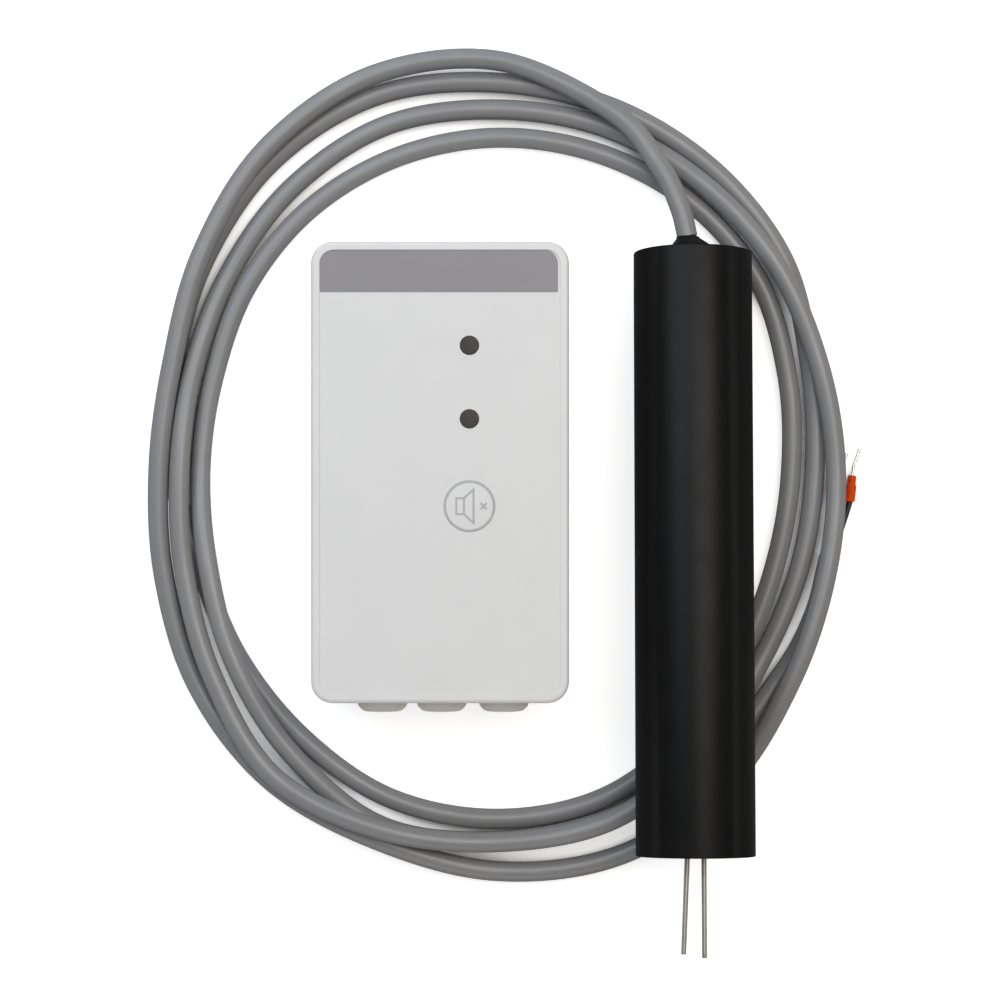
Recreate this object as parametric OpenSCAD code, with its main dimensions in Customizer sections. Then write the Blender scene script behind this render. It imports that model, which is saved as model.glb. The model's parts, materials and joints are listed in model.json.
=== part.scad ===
// Level alarm: a wall-mounted signalling unit, a cylindrical probe with two rod
// electrodes, and the probe's cable, laid out as a loose coil round the unit.
// Millimetres. +X is right, +Y up the unit's front, +Z out of its front. The
// origin is the centre of the unit's back face.

/* [Housing] */
// Width of the housing
unit_w = 71; // [70:0.5:74]
// Height of the housing
unit_h = 127; // [126:0.5:130]
// Depth from the back face to the front rim
unit_d = 38; // [38:0.5:42]
// Radius of the upright corners
unit_r = 6; // [5:0.5:7]
// Depth of the back shell
base_d = 14; // [13:0.5:15]
// Wall thickness of both shells
wall_t = 2.2; // [2:0.1:2.4]
// Radius of the front edge
front_edge_r = 1.2; // [0.8:0.1:1.6]
// Radius of the back edge
back_edge_r = 0.8; // [0.5:0.1:1.2]
// Bevel on both shells where they meet
joint_cut = 0.25; // [0.15:0.05:0.4]

/* [Front] */
// Width of the rim round the foil
rim_w = 2.3; // [2:0.1:3]
// Depth of the foil's recess, less the foil
foil_drop = 0.3; // [0.3:0.1:0.8]
// Thickness of the front foil
foil_t = 0.3; // [0.2:0.1:0.4]
// Height of the dark header field
header_h = 11.1; // [8:0.1:13]
// Distance of the lamps and the key to the right of the centre
lamp_x = 8.1; // [6:0.1:9]
// Height of the alarm lamp above the centre
alarm_y = 34.9; // [32:0.1:37]
// Height of the normal lamp above the centre
normal_y = 14.7; // [13:0.1:17]
// Height of the mute key above the centre
key_y = -9.3; // [-11:0.1:-8]
// Radius of the lamp windows
window_r = 2.7; // [2.5:0.1:3]
// Radius of the mute key
key_r = 7; // [6:0.1:7.5]
// Travel of the mute key
key_travel = 0.5; // [0.3:0.1:0.6]

/* [Cable entries] */
// Pitch of the three grommets
grommet_pitch = 17; // [16:0.5:18]
// Radius of a grommet's outer collar
grommet_r = 7; // [6.5:0.1:7.2]
// Length of a grommet below the housing
grommet_out = 3.7; // [3:0.1:5]

/* [Wall mounting] */
// Distance between the two wall screws
screw_spacing = 98; // [97:1:99]
// Height of the pattern's centre above the housing's centre
screw_mid_y = 3; // [2.5:0.5:3.5]
// Radius of a wall screw's hole
screw_hole_r = 2.2; // [2:0.1:2.5]

/* [Probe] */
// Diameter of the probe's barrel
probe_d = 33.3; // [33:0.1:34]
// Length of the barrel
probe_len = 169; // [165:1:172]
// Wall thickness of the barrel
barrel_t = 2.5; // [2:0.1:3]
// Place of the barrel's axis to the right of the housing's centre
probe_x = 70.8; // [70.5:0.1:71.2]
// Place of the barrel's cable end above the housing's centre
probe_y = 62; // [61.5:0.1:62.5]
// Angle by which the cable lifts the electrode end
probe_tilt = 4.5; // [4.5:0.1:4.8]
// Diameter of an electrode
electrode_d = 1.5; // [1.2:0.1:2]
// Length of the left electrode outside the barrel, the right one being 1 longer
electrode_out = 27.5; // [20:0.5:32]
// Distance between the electrodes at the barrel
electrode_gap = 4.6; // [4:0.1:6]
// Angle by which the left electrode is bent outwards
electrode_lean = 2.5; // [0:0.5:4]

/* [Cable] */
// Outer diameter of the cable's jacket
cable_d = 5.8; // [5.4:0.1:5.8]
// Outer diameter of a core
core_d = 1.7; // [1.4:0.1:1.9]
// Length of a ferrule's collar
collar_len = 7.5; // [6:0.1:7.6]
// Length of a ferrule's pin
pin_len = 8; // [6:0.5:8]

/* [Hidden] */
$fn = 32;
SKIN = 0.02;
half_w = unit_w / 2;
half_h = unit_h / 2;
inner_x = half_w - wall_t;
inner_y = half_h - wall_t;
inner_r = unit_r - wall_t;
floor_t = 2.4;
tongue_t = 1;
tongue_h = 1.5;
joint_gap = 0.1;

foil_w = unit_w - 2 * rim_w;
foil_h = unit_h - 2 * rim_w;
foil_r = 4;
foil_top = unit_d - foil_drop;
foil_z = foil_top - foil_t;
front_t = 2.3;
front_z = foil_z - front_t;
ink_t = 0.15;
window_t = 1;
window_ledge = 0.25;

board_w = 60;
board_h = 84;
board_t = 1.6;
board_y = 4;
board_z = 9;
board_top = board_z + board_t;
pillar_x = 26;
pillar_ys = [-21.5, 41];
pillar_r = 3;
pilot_r = 1.15;

latch_w = 10;
latch_t = 1.6;
latch_y = 32;
latch_top = base_d + 10;
barb_z = base_d + 7.2;
barb_out = 0.7;

grommet_xs = [0.3 - grommet_pitch, 0, 0.6 + grommet_pitch];
neck_r = grommet_r - 0.9;
flange_t = 1.5;
flange_r = grommet_r + 0.3;

key_gap = 0.1;
key_flange_r = key_r + 1.4;
key_guide_r = key_flange_r + 0.2;
key_foot = board_top + 5;
switch_w = 6;
switch_h = 3.5;
switch_well = 2.7;
button_r = 1.7;

terminal_pitch = 5.08;
terminal_y = -32.5;
terminal_w = 10;
terminal_h = 12;

led_r = 2.5;
led_foot = board_top + 15.6;
led_top = front_z - 0.1;

barrel_r = probe_d / 2;
bore_r = barrel_r - barrel_t;
barrel_edge = 0.4;
probe_z = (barrel_r - barrel_edge) * cos(probe_tilt) + barrel_edge * (1 - sin(probe_tilt)) + SKIN;
head_t = 14;
nose_t = 18;
potting_t = 12;
end_step = 0.5;
boot_len = 4.6;
boot_r = 5.5;
cable_r = cable_d / 2;
core_r = core_d / 2;
electrode_r = electrode_d / 2;
electrode_in = nose_t + potting_t + 4;
inlet_in = head_t + 6;
sleeve_len = 8;

collar_r = 1.5;
core_in = 1.2;
pin_r = 0.5;
wire_z = 1.6;

// The cable's coil: its middle, and for every 18 degrees of its way round, from
// 72 degrees on, the distance from the middle and the height of the cable's
// centre. One row is one turn, anticlockwise seen from above.
coil_mid = [15.6, 1.6];
coil_step = 18;
coil_start = 72;
coil = [
    [106.3, 10.5], [116, 7.8], [117.4, 6.8], [112.1, 8.3], [103.8, 8.9],
    [97.1, 8.9], [96.3, 8.6], [99.9, 6.5], [106.1, 3], [110.5, 3.6],
    [111.4, 8.1], [115.5, 3.1], [116.4, 3], [111.6, 4.8], [103.5, 8.8],
    [98.6, 9.1], [96.6, 7.7], [96.3, 8.8], [98.2, 9], [100.1, 6.4],
    [102.3, 3], [102.7, 3], [103.1, 3], [99.5, 3], [94.8, 3],
    [91.2, 5.8], [90.3, 8.8], [93.6, 9], [100.2, 9.1], [108.2, 10.1],
    [107.7, 12.9], [106.5, 9.6], [105.5, 9.3], [99.7, 7.8], [93.6, 3.2],
    [91.3, 3], [91.1, 3], [94.4, 3], [101.5, 3], [105.5, 3],
    [108.4, 3], [110.4, 3], [112.1, 3], [109, 3], [103, 3],
    [97.2, 3], [93, 3], [89.5, 3], [91.8, 3], [95.2, 3],
    [99.4, 3], [100.5, 3], [99.3, 3], [93.9, 3], [87.5, 3],
    [84.3, 3], [84.3, 3], [87.4, 3], [92.3, 3], [94.2, 3],
    [94.7, 3], [94.6, 3], [93.5, 3], [91.5, 3], [88.5, 3],
    [85.2, 3], [84.8, 3.8], [86.7, 8.5], [92.8, 9.1], [100.3, 7.2],
    [107.8, 3], [106.9, 3], [105.5, 3], [103.9, 3], [100.9, 3]
];
coil_points = [
    for (i = [0:len(coil) - 1])
        let (turn = coil_start + coil_step * i)
            [coil_mid.x + coil[i][0] * cos(turn), coil_mid.y + coil[i][0] * sin(turn), coil[i][1]]
];
// From the boot to the coil, and from the coil to the end of the jacket
lead_points = [[67.1, 75.6, 15.5], [61.7, 87, 13.5]];
tail_points = [[106.4, -40.7, 3], [110.9, -23.6, 3]];
exit_point = [
    probe_x,
    probe_y + boot_len * cos(probe_tilt),
    probe_z - boot_len * sin(probe_tilt)
];
cable_points = concat([exit_point], lead_points, coil_points, tail_points);

// Each bared core: its start at the jacket, the start and end of its ferrule's
// collar, and the tip of its pin
black_wire = [[111.85, -23.75, 3], [116.8, -8, wire_z], [117.6, -1.1, wire_z], [119.8, 7.1, wire_z]];
white_wire = [[110.1, -23.3, 3], [113.5, -9.2, wire_z], [113.8, -1.9, wire_z], [116, 5.5, wire_z]];

// A plate with round upright corners, standing on z = 0
module plate(w, h, r, t) {
    linear_extrude(t) {
        square([w - 2 * r, h], center = true);
        square([w, h - 2 * r], center = true);
        for (x = [-1, 1], y = [-1, 1]) {
            translate([x * (w / 2 - r), y * (h / 2 - r)]) circle(r);
        }
    }
}

// A block on the board, with its lower left corner at the given place
module block(size, r = 0.8) {
    translate([size.x / 2, size.y / 2, 0]) plate(size.x, size.y, r, size.z);
}

// Runs the children along the probe: z = 0 is the face of its cable end
module at_probe() {
    translate([probe_x, probe_y, probe_z]) rotate([90 - probe_tilt, 0, 0]) children();
}

function unit(v) = v / norm(v);

// Direction of a path at its point i
function heading(path, i) =
    let (a = max(i - 1, 0), b = min(i + 1, len(path) - 1)) unit(path[b] - path[a]);

// One ring of a swept tube, square to the path or, for the first, to a given direction
function tube_ring(path, i, r, sides, start) =
    let (
        ahead = i == 0 && is_list(start) ? start : heading(path, i),
        side = unit(cross(abs(ahead.z) > 0.8 ? [1, 0, 0] : [0, 0, 1], ahead)),
        up = cross(ahead, side)
    )
    [for (k = [0:sides - 1])
        path[i] + r * (cos(360 * k / sides) * side + sin(360 * k / sides) * up)];

module tube(path, r, sides, start = 0) {
    rings = len(path);
    polyhedron(
        points = [for (i = [0:rings - 1]) each tube_ring(path, i, r, sides, start)],
        faces = concat(
            [[for (k = [0:sides - 1]) k]],
            [[for (k = [sides - 1:-1:0]) (rings - 1) * sides + k]],
            [for (i = [0:rings - 2], k = [0:sides - 1])
                let (n = (k + 1) % sides)
                    [i * sides + k, (i + 1) * sides + k, (i + 1) * sides + n, i * sides + n]]
        )
    );
}

// Half the section of a shell's outside, from the axis of a corner outwards: bevelled
// where the shells meet, round at the other end
module rim_section(joint_z, end_z, edge_r) {
    s = sign(end_z - joint_z);
    round_z = end_z - s * edge_r;
    polygon([
        [0, joint_z], [unit_r - joint_cut, joint_z], [unit_r, joint_z + s * joint_cut],
        [unit_r, round_z], [unit_r - edge_r, round_z], [unit_r - edge_r, end_z], [0, end_z]
    ]);
    translate([unit_r - edge_r, round_z]) circle(edge_r);
}

// The outside of a shell: the section turned round its corners and drawn along its sides
module rounded_block(joint_z, end_z, edge_r) {
    x = half_w - unit_r;
    y = half_h - unit_r;
    corners = [[x, y], [-x, y], [-x, -y], [x, -y]];
    translate([-x, -y, min(joint_z, end_z)]) cube([2 * x, 2 * y, abs(end_z - joint_z)]);
    for (i = [0:3]) {
        side_len = i % 2 == 0 ? 2 * y : 2 * x;
        side_x = i % 2 == 0 ? x : y;
        translate(corners[i]) rotate(90 * i)
            rotate_extrude(angle = 90) rim_section(joint_z, end_z, edge_r);
        rotate(90 * i) translate([side_x, side_len / 2, 0]) rotate([90, 0, 0])
            linear_extrude(side_len) rim_section(joint_z, end_z, edge_r);
    }
}

// Inner side of the housing's latches: a tongue with a barb, drawn for the right side
module latch() {
    rotate([90, 0, 0]) linear_extrude(latch_w, center = true) polygon([
        [inner_x + 0.3, base_d / 2],
        [inner_x + 0.3, base_d],
        [inner_x, base_d + tongue_h],
        [inner_x - 0.15, base_d + tongue_h],
        [inner_x - 0.15, barb_z],
        [inner_x + barb_out, barb_z],
        [inner_x + barb_out, barb_z + 0.3],
        [inner_x - 0.15, latch_top - 0.6],
        [inner_x - 0.4, latch_top],
        [inner_x - latch_t, latch_top],
        [inner_x - latch_t, base_d / 2 + 1],
        [inner_x, base_d / 2 - 1]
    ]);
}

module board_pillar() {
    rotate_extrude() polygon([
        [0, 0], [pillar_r + 0.6, 0], [pillar_r, floor_t + 1.5], [pillar_r, board_z],
        [pilot_r, board_z], [pilot_r, floor_t], [0, floor_t]
    ]);
}

module wall_screw_holes(r, z0, z1) {
    for (side = [-1, 1]) {
        translate([0, screw_mid_y + side * screw_spacing / 2, z0]) cylinder(h = z1 - z0, r = r);
    }
}

// The bores in the bottom wall that the grommets' necks fill
module grommet_bores() {
    for (x = grommet_xs) {
        translate([x, -half_h - 1, base_d]) rotate([-90, 0, 0]) cylinder(h = wall_t + 2, r = neck_r);
    }
}

module base_shell() {
    rib_t = 1.2;
    rib_h = 2;
    color("gainsboro") difference() {
        union() {
            difference() {
                rounded_block(base_d, 0, back_edge_r);
                translate([0, 0, floor_t])
                    plate(2 * inner_x, 2 * inner_y, inner_r, base_d);
            }
            translate([0, 0, base_d - 1]) difference() {
                plate(2 * (inner_x + tongue_t), 2 * (inner_y + tongue_t), inner_r + tongue_t, tongue_h + 1);
                translate([0, 0, -1]) plate(2 * inner_x, 2 * inner_y, inner_r, tongue_h + 3);
            }
            for (side = [0, 180], y = [-latch_y, latch_y]) {
                rotate([0, 0, side]) translate([0, y, 0]) latch();
            }
            for (x = [-1, 1], y = pillar_ys) {
                translate([x * pillar_x, y, 0]) board_pillar();
                translate([x * (pillar_x + inner_x + pillar_r) / 2, y, floor_t + rib_h])
                    cube([inner_x - pillar_x - pillar_r + 1, rib_t, 2 * rib_h + 0.2], center = true);
            }
            for (y = [-30, 8, 30]) {
                translate([0, y, floor_t + rib_h / 2 - 0.1])
                    cube([2 * inner_x + 0.4, rib_t, rib_h + 0.2], center = true);
            }
            wall_screw_holes(screw_hole_r + 2.8, 1, floor_t + 2.2);
        }
        wall_screw_holes(screw_hole_r, -1, base_d);
        grommet_bores();
    }
}

module cover_shell() {
    rib_h = 1.2;
    color("whitesmoke") difference() {
        union() {
            difference() {
                rounded_block(base_d, unit_d, front_edge_r);
                translate([0, 0, base_d - 1])
                    plate(2 * inner_x, 2 * inner_y, inner_r, front_z - base_d + 1);
            }
            translate([lamp_x, key_y, front_z - 3])
                cylinder(h = 3.2, r = key_guide_r + 1.2);
            for (y = [alarm_y, normal_y]) {
                translate([lamp_x, y, front_z - 4.5]) cylinder(h = 4.7, r = led_r + 1.8);
            }
            for (x = [-22, 22]) {
                translate([x, 0, front_z - rib_h / 2 + 0.1])
                    cube([1.2, 2 * inner_y - 14, rib_h + 0.2], center = true);
            }
        }
        translate([0, 0, foil_z]) plate(foil_w, foil_h, foil_r, unit_d);
        translate([0, 0, base_d - 1]) plate(
            2 * (inner_x + tongue_t + joint_gap), 2 * (inner_y + tongue_t + joint_gap),
            inner_r + tongue_t + joint_gap, tongue_h + joint_gap + 1
        );
        for (side = [0, 180], y = [-latch_y, latch_y]) {
            rotate([0, 0, side])
                translate([inner_x - 0.5, y - latch_w / 2 - 0.3, barb_z - 0.1])
                    cube([barb_out + 0.8, latch_w + 0.6, 3]);
        }
        translate([lamp_x, key_y, front_z - 4]) cylinder(h = unit_d, r = key_r + key_gap);
        translate([lamp_x, key_y, front_z - 4]) cylinder(h = 4, r = key_guide_r);
        for (y = [alarm_y, normal_y]) {
            translate([lamp_x, y, front_z - 5]) cylinder(h = 5, r = led_r + 0.6);
            translate([lamp_x, y, front_z - 1]) cylinder(h = unit_d, r = window_r - window_ledge);
            translate([lamp_x, y, foil_top - window_t]) cylinder(h = unit_d, r = window_r);
        }
        grommet_bores();
    }
}

module front_foil() {
    color("lightgray") difference() {
        translate([0, 0, foil_z]) plate(foil_w, foil_h, foil_r, foil_t);
        translate([-half_w, foil_h / 2 - header_h, foil_top - ink_t]) cube([unit_w, half_h, 1]);
        for (y = [alarm_y, normal_y]) {
            translate([lamp_x, y, foil_z - 1]) cylinder(h = 3, r = window_r);
        }
        translate([lamp_x, key_y, foil_z - 1]) cylinder(h = 3, r = key_r + key_gap);
    }
}

module header_band() {
    color("gray") intersection() {
        translate([0, 0, foil_top - ink_t]) plate(foil_w, foil_h, foil_r, ink_t);
        translate([-half_w, foil_h / 2 - header_h, foil_z - 1]) cube([unit_w, half_h, 3]);
    }
}

module lamp_window(y) {
    color("dimgray") translate([lamp_x, y, foil_top - window_t]) cylinder(h = window_t, r = window_r);
}

module mute_key() {
    cap_t = 1.2;
    edge = 0.15;
    flange_top = front_z - SKIN;
    color("lightgray") translate([lamp_x, key_y, 0]) rotate_extrude() polygon([
        [0, foil_top], [key_r - edge, foil_top], [key_r, foil_top - edge],
        [key_r, flange_top], [key_flange_r, flange_top],
        [key_flange_r, flange_top - 1.2], [key_r - 1.2, flange_top - 1.2],
        [key_r - 1.2, foil_top - cap_t], [2.4, foil_top - cap_t], [1.6, key_foot], [0, key_foot]
    ]);
}

module mute_switch() {
    color("silver") translate([lamp_x, key_y, board_top]) difference() {
        translate([-switch_w / 2, -switch_w / 2, 0]) block([switch_w, switch_w, switch_h], 0.5);
        translate([0, 0, switch_h - switch_well]) cylinder(h = 3, r = button_r + 0.05);
    }
}

module mute_switch_button() {
    foot = board_top + switch_h - switch_well + key_travel + 0.15;
    color("black") translate([lamp_x, key_y, foot]) cylinder(h = key_foot - foot, r = button_r);
}

module circuit_board() {
    color("darkgreen") difference() {
        translate([0, board_y, board_z]) plate(board_w, board_h, 2, board_t);
        for (x = [-pillar_x, pillar_x], y = pillar_ys) {
            translate([x, y, 0]) cylinder(h = unit_d, r = 1.3);
        }
        for (x = [-1.27, 1.27], y = [alarm_y, normal_y]) {
            translate([lamp_x + x, y, 0]) cylinder(h = unit_d, r = 0.45);
        }
    }
}

module board_screws() {
    color("silver") for (x = [-pillar_x, pillar_x], y = pillar_ys) {
        translate([x, y, board_top]) difference() {
            rotate_extrude() polygon([
                [0, -6], [0.7, -6], [1.1, -5.4], [1.1, 0], [2.2, 0], [2.2, 0.8], [1.4, 1.5], [0, 1.5]
            ]);
            for (turn = [0, 90]) {
                rotate([0, 0, turn]) translate([0, 0, 1.5]) cube([2.6, 0.5, 1.4], center = true);
            }
        }
    }
}

module led(y, tint) {
    dome_z = led_top - led_r;
    color(tint) translate([lamp_x, y, 0]) {
        rotate_extrude() polygon(concat(
            [[0, led_foot], [led_r + 0.4, led_foot], [led_r + 0.4, led_foot + 1], [led_r, led_foot + 1]],
            [for (a = [0:15:90]) [led_r * cos(a), dome_z + led_r * sin(a)]]
        ));
        for (x = [-1.27, 1.27]) {
            translate([x - 0.25, -0.25, board_z - 1]) cube([0.5, 0.5, led_foot - board_z + 1.2]);
        }
    }
}

module led_spacers() {
    color("black") for (y = [alarm_y, normal_y]) {
        translate([lamp_x, y, board_top]) difference() {
            cylinder(h = led_foot - board_top, r = led_r);
            translate([0, 0, -1]) cylinder(h = unit_d, r = 1.8);
        }
    }
}

module transformer() {
    size = [27.3, 32.3, 20];
    color("midnightblue") translate([-28.5, 5, board_top]) {
        block(size, 1.5);
        translate([1.2, 1.2, size.z]) block([size.x - 2.4, size.y - 2.4, 2.7], 1);
    }
}

module relay() {
    size = [12.8, 29, 15];
    color("black") translate([15.6, -10.5, board_top]) {
        block(size);
        translate([0.6, 0.6, size.z]) block([size.x - 1.2, size.y - 1.2, 0.7]);
    }
}

module buzzer() {
    color("black") translate([22, 30, board_top]) rotate_extrude() polygon([
        [0, 0], [6, 0], [6, 9], [5.5, 9.5], [3, 9.5], [2.6, 9], [1, 9], [1, 6], [0, 6]
    ]);
}

fuse_mid = [-23.5, -8, board_top + 4.2];
fuse_len = 20;
fuse_r = 2.6;
module fuse() {
    cap = 5;
    color("lightcyan") translate(fuse_mid) rotate([90, 0, 0]) union() {
        cylinder(h = fuse_len - 2, r = fuse_r - 0.3, center = true);
        for (side = [-1, 1]) {
            translate([0, 0, side * (fuse_len - cap) / 2]) cylinder(h = cap, r = fuse_r, center = true);
        }
    }
}

module fuse_clips() {
    color("gold") for (side = [-1, 1]) {
        translate([fuse_mid.x, fuse_mid.y + side * 7, board_top]) difference() {
            translate([-3.4, -1.8, 0]) cube([6.8, 3.6, 6.2]);
            translate([0, 0, fuse_mid.z - board_top]) rotate([90, 0, 0])
                cylinder(h = 5, r = fuse_r, center = true);
            translate([-1.9, -2, fuse_mid.z - board_top]) cube([3.8, 4, 5]);
        }
    }
}

// A screw terminal with its wire mouths towards the grommets
module terminal(x, ways, tint) {
    color(tint) translate([x, terminal_y, board_top]) difference() {
        rotate([90, 0, 90]) linear_extrude(ways * terminal_pitch, center = true) polygon([
            [-terminal_w / 2, 0], [terminal_w / 2, 0], [terminal_w / 2, 8],
            [terminal_w / 2 - 1.5, terminal_h], [-2.5, terminal_h], [-terminal_w / 2, 9]
        ]);
        for (i = [0:ways - 1]) {
            translate([(i - (ways - 1) / 2) * terminal_pitch, 0, 0]) {
                translate([0, 0.5, 4.5]) cylinder(h = terminal_h, r = 1.75);
                translate([-1.6, -terminal_w / 2 - 1, 1.5]) cube([3.2, 8, 3.4]);
            }
        }
    }
}

terminals = [[-19.5, 3], [0, 3], [17.5, 2]];
module terminal_screws() {
    color("silver") for (t = terminals, i = [0:t[1] - 1]) {
        translate([t[0] + (i - (t[1] - 1) / 2) * terminal_pitch, terminal_y + 0.5, board_top + 4.9])
            difference() {
                cylinder(h = 4.6, r = 1.7);
                translate([0, 0, 4.6]) cube([4, 0.6, 1.6], center = true);
            }
    }
}

module smoothing_capacitor() {
    color("darkslateblue") translate([-11, -3, board_top]) rotate_extrude() polygon([
        [0, 0], [4.6, 0], [5, 0.5], [5, 1.6], [4.6, 2.1], [5, 2.6], [5, 15.5], [4.6, 16],
        [4, 16], [4, 15.8], [0, 15.8]
    ]);
}

// A chip on two rows of legs
module dual_row(x, y, size, legs) {
    color("black") translate([x, y, board_top]) {
        translate([-size.x / 2, -size.y / 2, 0.5]) block(size, 0.3);
        for (i = [0:legs - 1], side = [-1, 1]) {
            translate([(i - (legs - 1) / 2) * size.x / legs - 0.3, side * size.y / 2 - 0.4, 0])
                cube([0.6, 0.8, 1.5]);
        }
    }
}

module regulator() {
    color("black") translate([-3.5, -15, board_top]) difference() {
        cylinder(h = 5, r = 2.4);
        translate([-3, 1.4, -1]) cube([6, 3, 7]);
    }
}

module varistor() {
    color("steelblue") translate([-14, -18, board_top + 4.2]) rotate([90, 0, 0])
        cylinder(h = 3.4, r = 4.2, center = true);
}

module grommet(x) {
    inner = -wall_t - flange_t;
    bevel = 2.2;
    color("darkgray") translate([x, -half_h, base_d]) rotate([90, 0, 0]) rotate_extrude() polygon([
        [0, 0.2], [3.4, 0.2], [3.4, inner], [flange_r, inner], [flange_r, -wall_t],
        [neck_r, -wall_t], [neck_r, 0], [grommet_r, 0], [grommet_r, grommet_out - bevel],
        [grommet_r - bevel, grommet_out], [3.2, grommet_out], [2.8, 1.2], [0, 1.2]
    ]);
}

module probe_barrel() {
    e = barrel_edge;
    color("black") at_probe() rotate_extrude($fn = 64) polygon(concat(
        [[bore_r, probe_len], [bore_r, 0]],
        [for (a = [90:-22.5:0]) [barrel_r - e + e * cos(a), e - e * sin(a)]],
        [for (a = [0:22.5:90]) [barrel_r - e + e * cos(a), probe_len - e + e * sin(a)]]
    ));
}

module probe_head() {
    color("dimgray") at_probe() difference() {
        translate([0, 0, end_step]) cylinder(h = head_t - end_step, r = bore_r);
        translate([0, 0, -1]) cylinder(h = head_t + 2, r = cable_r);
    }
}

module cable_boot() {
    color("black") at_probe() rotate_extrude() polygon([
        [cable_r, end_step], [boot_r, end_step], [boot_r, -2.2], [boot_r - 0.6, -2.8],
        [cable_r + 0.5, -boot_len + 0.5], [cable_r + 0.3, -boot_len], [cable_r, -boot_len]
    ]);
}

module jacket_inlet() {
    color("gray") at_probe() translate([0, 0, -boot_len]) cylinder(h = boot_len + inlet_in, r = cable_r);
}

module electrode_bores(z0, z1) {
    for (side = [-1, 1]) {
        translate([side * electrode_gap / 2, 0, z0]) cylinder(h = z1 - z0, r = electrode_r);
    }
}

module probe_nose() {
    color("dimgray") at_probe() difference() {
        translate([0, 0, probe_len - nose_t]) cylinder(h = nose_t - end_step, r = bore_r);
        electrode_bores(probe_len - nose_t - 1, probe_len + 1);
    }
}

module potting() {
    z0 = probe_len - nose_t - potting_t;
    color("darkslategray") at_probe() difference() {
        translate([0, 0, z0]) cylinder(h = potting_t, r = bore_r);
        electrode_bores(z0 - 1, z0 + potting_t + 1);
    }
}

// Keeps what lies on one side of a bend's mitre plane
module mitred(lean, side) {
    reach = 100;
    intersection() {
        children();
        rotate([0, lean / 2, 0]) translate([-reach / 2, -reach / 2, side > 0 ? 0 : -reach])
            cube(reach);
    }
}

// A rod that stands straight in the nose and may lean from its face on
module electrode(side, lean, out) {
    spare = 4;
    color("silver") at_probe() translate([side * electrode_gap / 2, 0, probe_len - end_step]) {
        mitred(side * lean, -1) translate([0, 0, -electrode_in])
            cylinder(h = electrode_in + spare, r = electrode_r);
        mitred(side * lean, 1) rotate([0, side * lean, 0]) translate([0, 0, -spare])
            cylinder(h = out + spare, r = electrode_r);
    }
}

sleeve_z = probe_len - end_step - electrode_in - sleeve_len / 2;
module electrode_sleeves() {
    color("orange") at_probe() for (side = [-1, 1]) {
        translate([side * electrode_gap / 2, 0, sleeve_z]) difference() {
            cylinder(h = sleeve_len, r = 1.4);
            translate([0, 0, sleeve_len / 2]) cylinder(h = sleeve_len, r = electrode_r);
            translate([0, 0, -1]) cylinder(h = sleeve_len / 2, r = core_r);
        }
    }
}

// A core from the jacket's inner end to its electrode's sleeve
module inner_core(side) {
    x = side * electrode_gap / 2;
    at_probe() tube([[side * 1.1, 0, inlet_in], [x, 0, sleeve_z - 4], [x, 0, sleeve_z + 3]], core_r, 12);
}

module probe_cable() {
    color("slategray") tube(cable_points, cable_r, 10, [0, cos(probe_tilt), -sin(probe_tilt)]);
}

// A core from the jacket's end into its ferrule's collar
module bared_core(wire) {
    d = unit(wire[2] - wire[1]);
    tube([wire[0], wire[1] - 2 * d, wire[1] + core_in * d], core_r, 12);
}

module ferrule_collar(wire) {
    d = wire[2] - wire[1];
    color("orangered") translate(wire[1]) rotate([0, acos(d.z / norm(d)), atan2(d.y, d.x)])
        rotate_extrude() polygon([
            [0, core_in], [core_r, core_in], [core_r, 0], [core_r + 0.2, 0], [collar_r, 0.3],
            [collar_r, collar_len - 3.2], [collar_r - 0.3, collar_len - 2.4],
            [collar_r - 0.3, collar_len], [0, collar_len]
        ]);
}

module ferrule_pin(wire) {
    d = unit(wire[2] - wire[1]);
    a = wire[1] + collar_len * d;
    bend = a + pin_len / 3 * d;
    color("silver") tube([a, bend, bend + pin_len * 2 / 3 * unit(wire[3] - bend)], pin_r, 12);
}

base_shell();
cover_shell();
front_foil();
header_band();
lamp_window(alarm_y);  // alarm_window
lamp_window(normal_y);  // normal_window
mute_key();
mute_switch();
mute_switch_button();
circuit_board();
board_screws();
led(alarm_y, "crimson");  // alarm_led
led(normal_y, "seagreen");  // normal_led
led_spacers();
transformer();
relay();
buzzer();
fuse();
fuse_clips();
terminal(terminals[0][0], terminals[0][1], "seagreen");  // mains_terminal
terminal(terminals[1][0], terminals[1][1], "seagreen");  // relay_terminal
terminal(terminals[2][0], terminals[2][1], "gray");  // probe_terminal
terminal_screws();
smoothing_capacitor();
dual_row(5, 42, [8.4, 6.4, 3], 2);  // rectifier
regulator();
dual_row(4.5, -22.5, [9.6, 6.4, 3.2], 4);  // comparator_chip
varistor();
grommet(grommet_xs[0]);  // grommet_left
grommet(grommet_xs[1]);  // grommet_middle
grommet(grommet_xs[2]);  // grommet_right
probe_barrel();
probe_head();
cable_boot();
jacket_inlet();
probe_nose();
potting();
electrode(-1, electrode_lean, electrode_out);  // electrode_left
electrode(1, 0, electrode_out + 1);  // electrode_right
electrode_sleeves();
color("black") inner_core(1);  // inner_core_black
color("white") inner_core(-1);  // inner_core_white
probe_cable();
color("black") bared_core(black_wire);  // core_black
color("white") bared_core(white_wire);  // core_white
ferrule_collar(black_wire);  // ferrule_collar_black
ferrule_collar(white_wire);  // ferrule_collar_white
ferrule_pin(black_wire);  // ferrule_pin_black
ferrule_pin(white_wire);  // ferrule_pin_white
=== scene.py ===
"""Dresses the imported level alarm: a wall unit, its probe and the probe's coiled cable.

The frame holds the solids of the object. This script lays the cable, gives every
solid its finish, puts smoother surfaces over the pieces that show most, and lights the
set from above. Sizes are in millimetres, and a mesh is turned into metres when it is made.
"""

from __future__ import annotations

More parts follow.
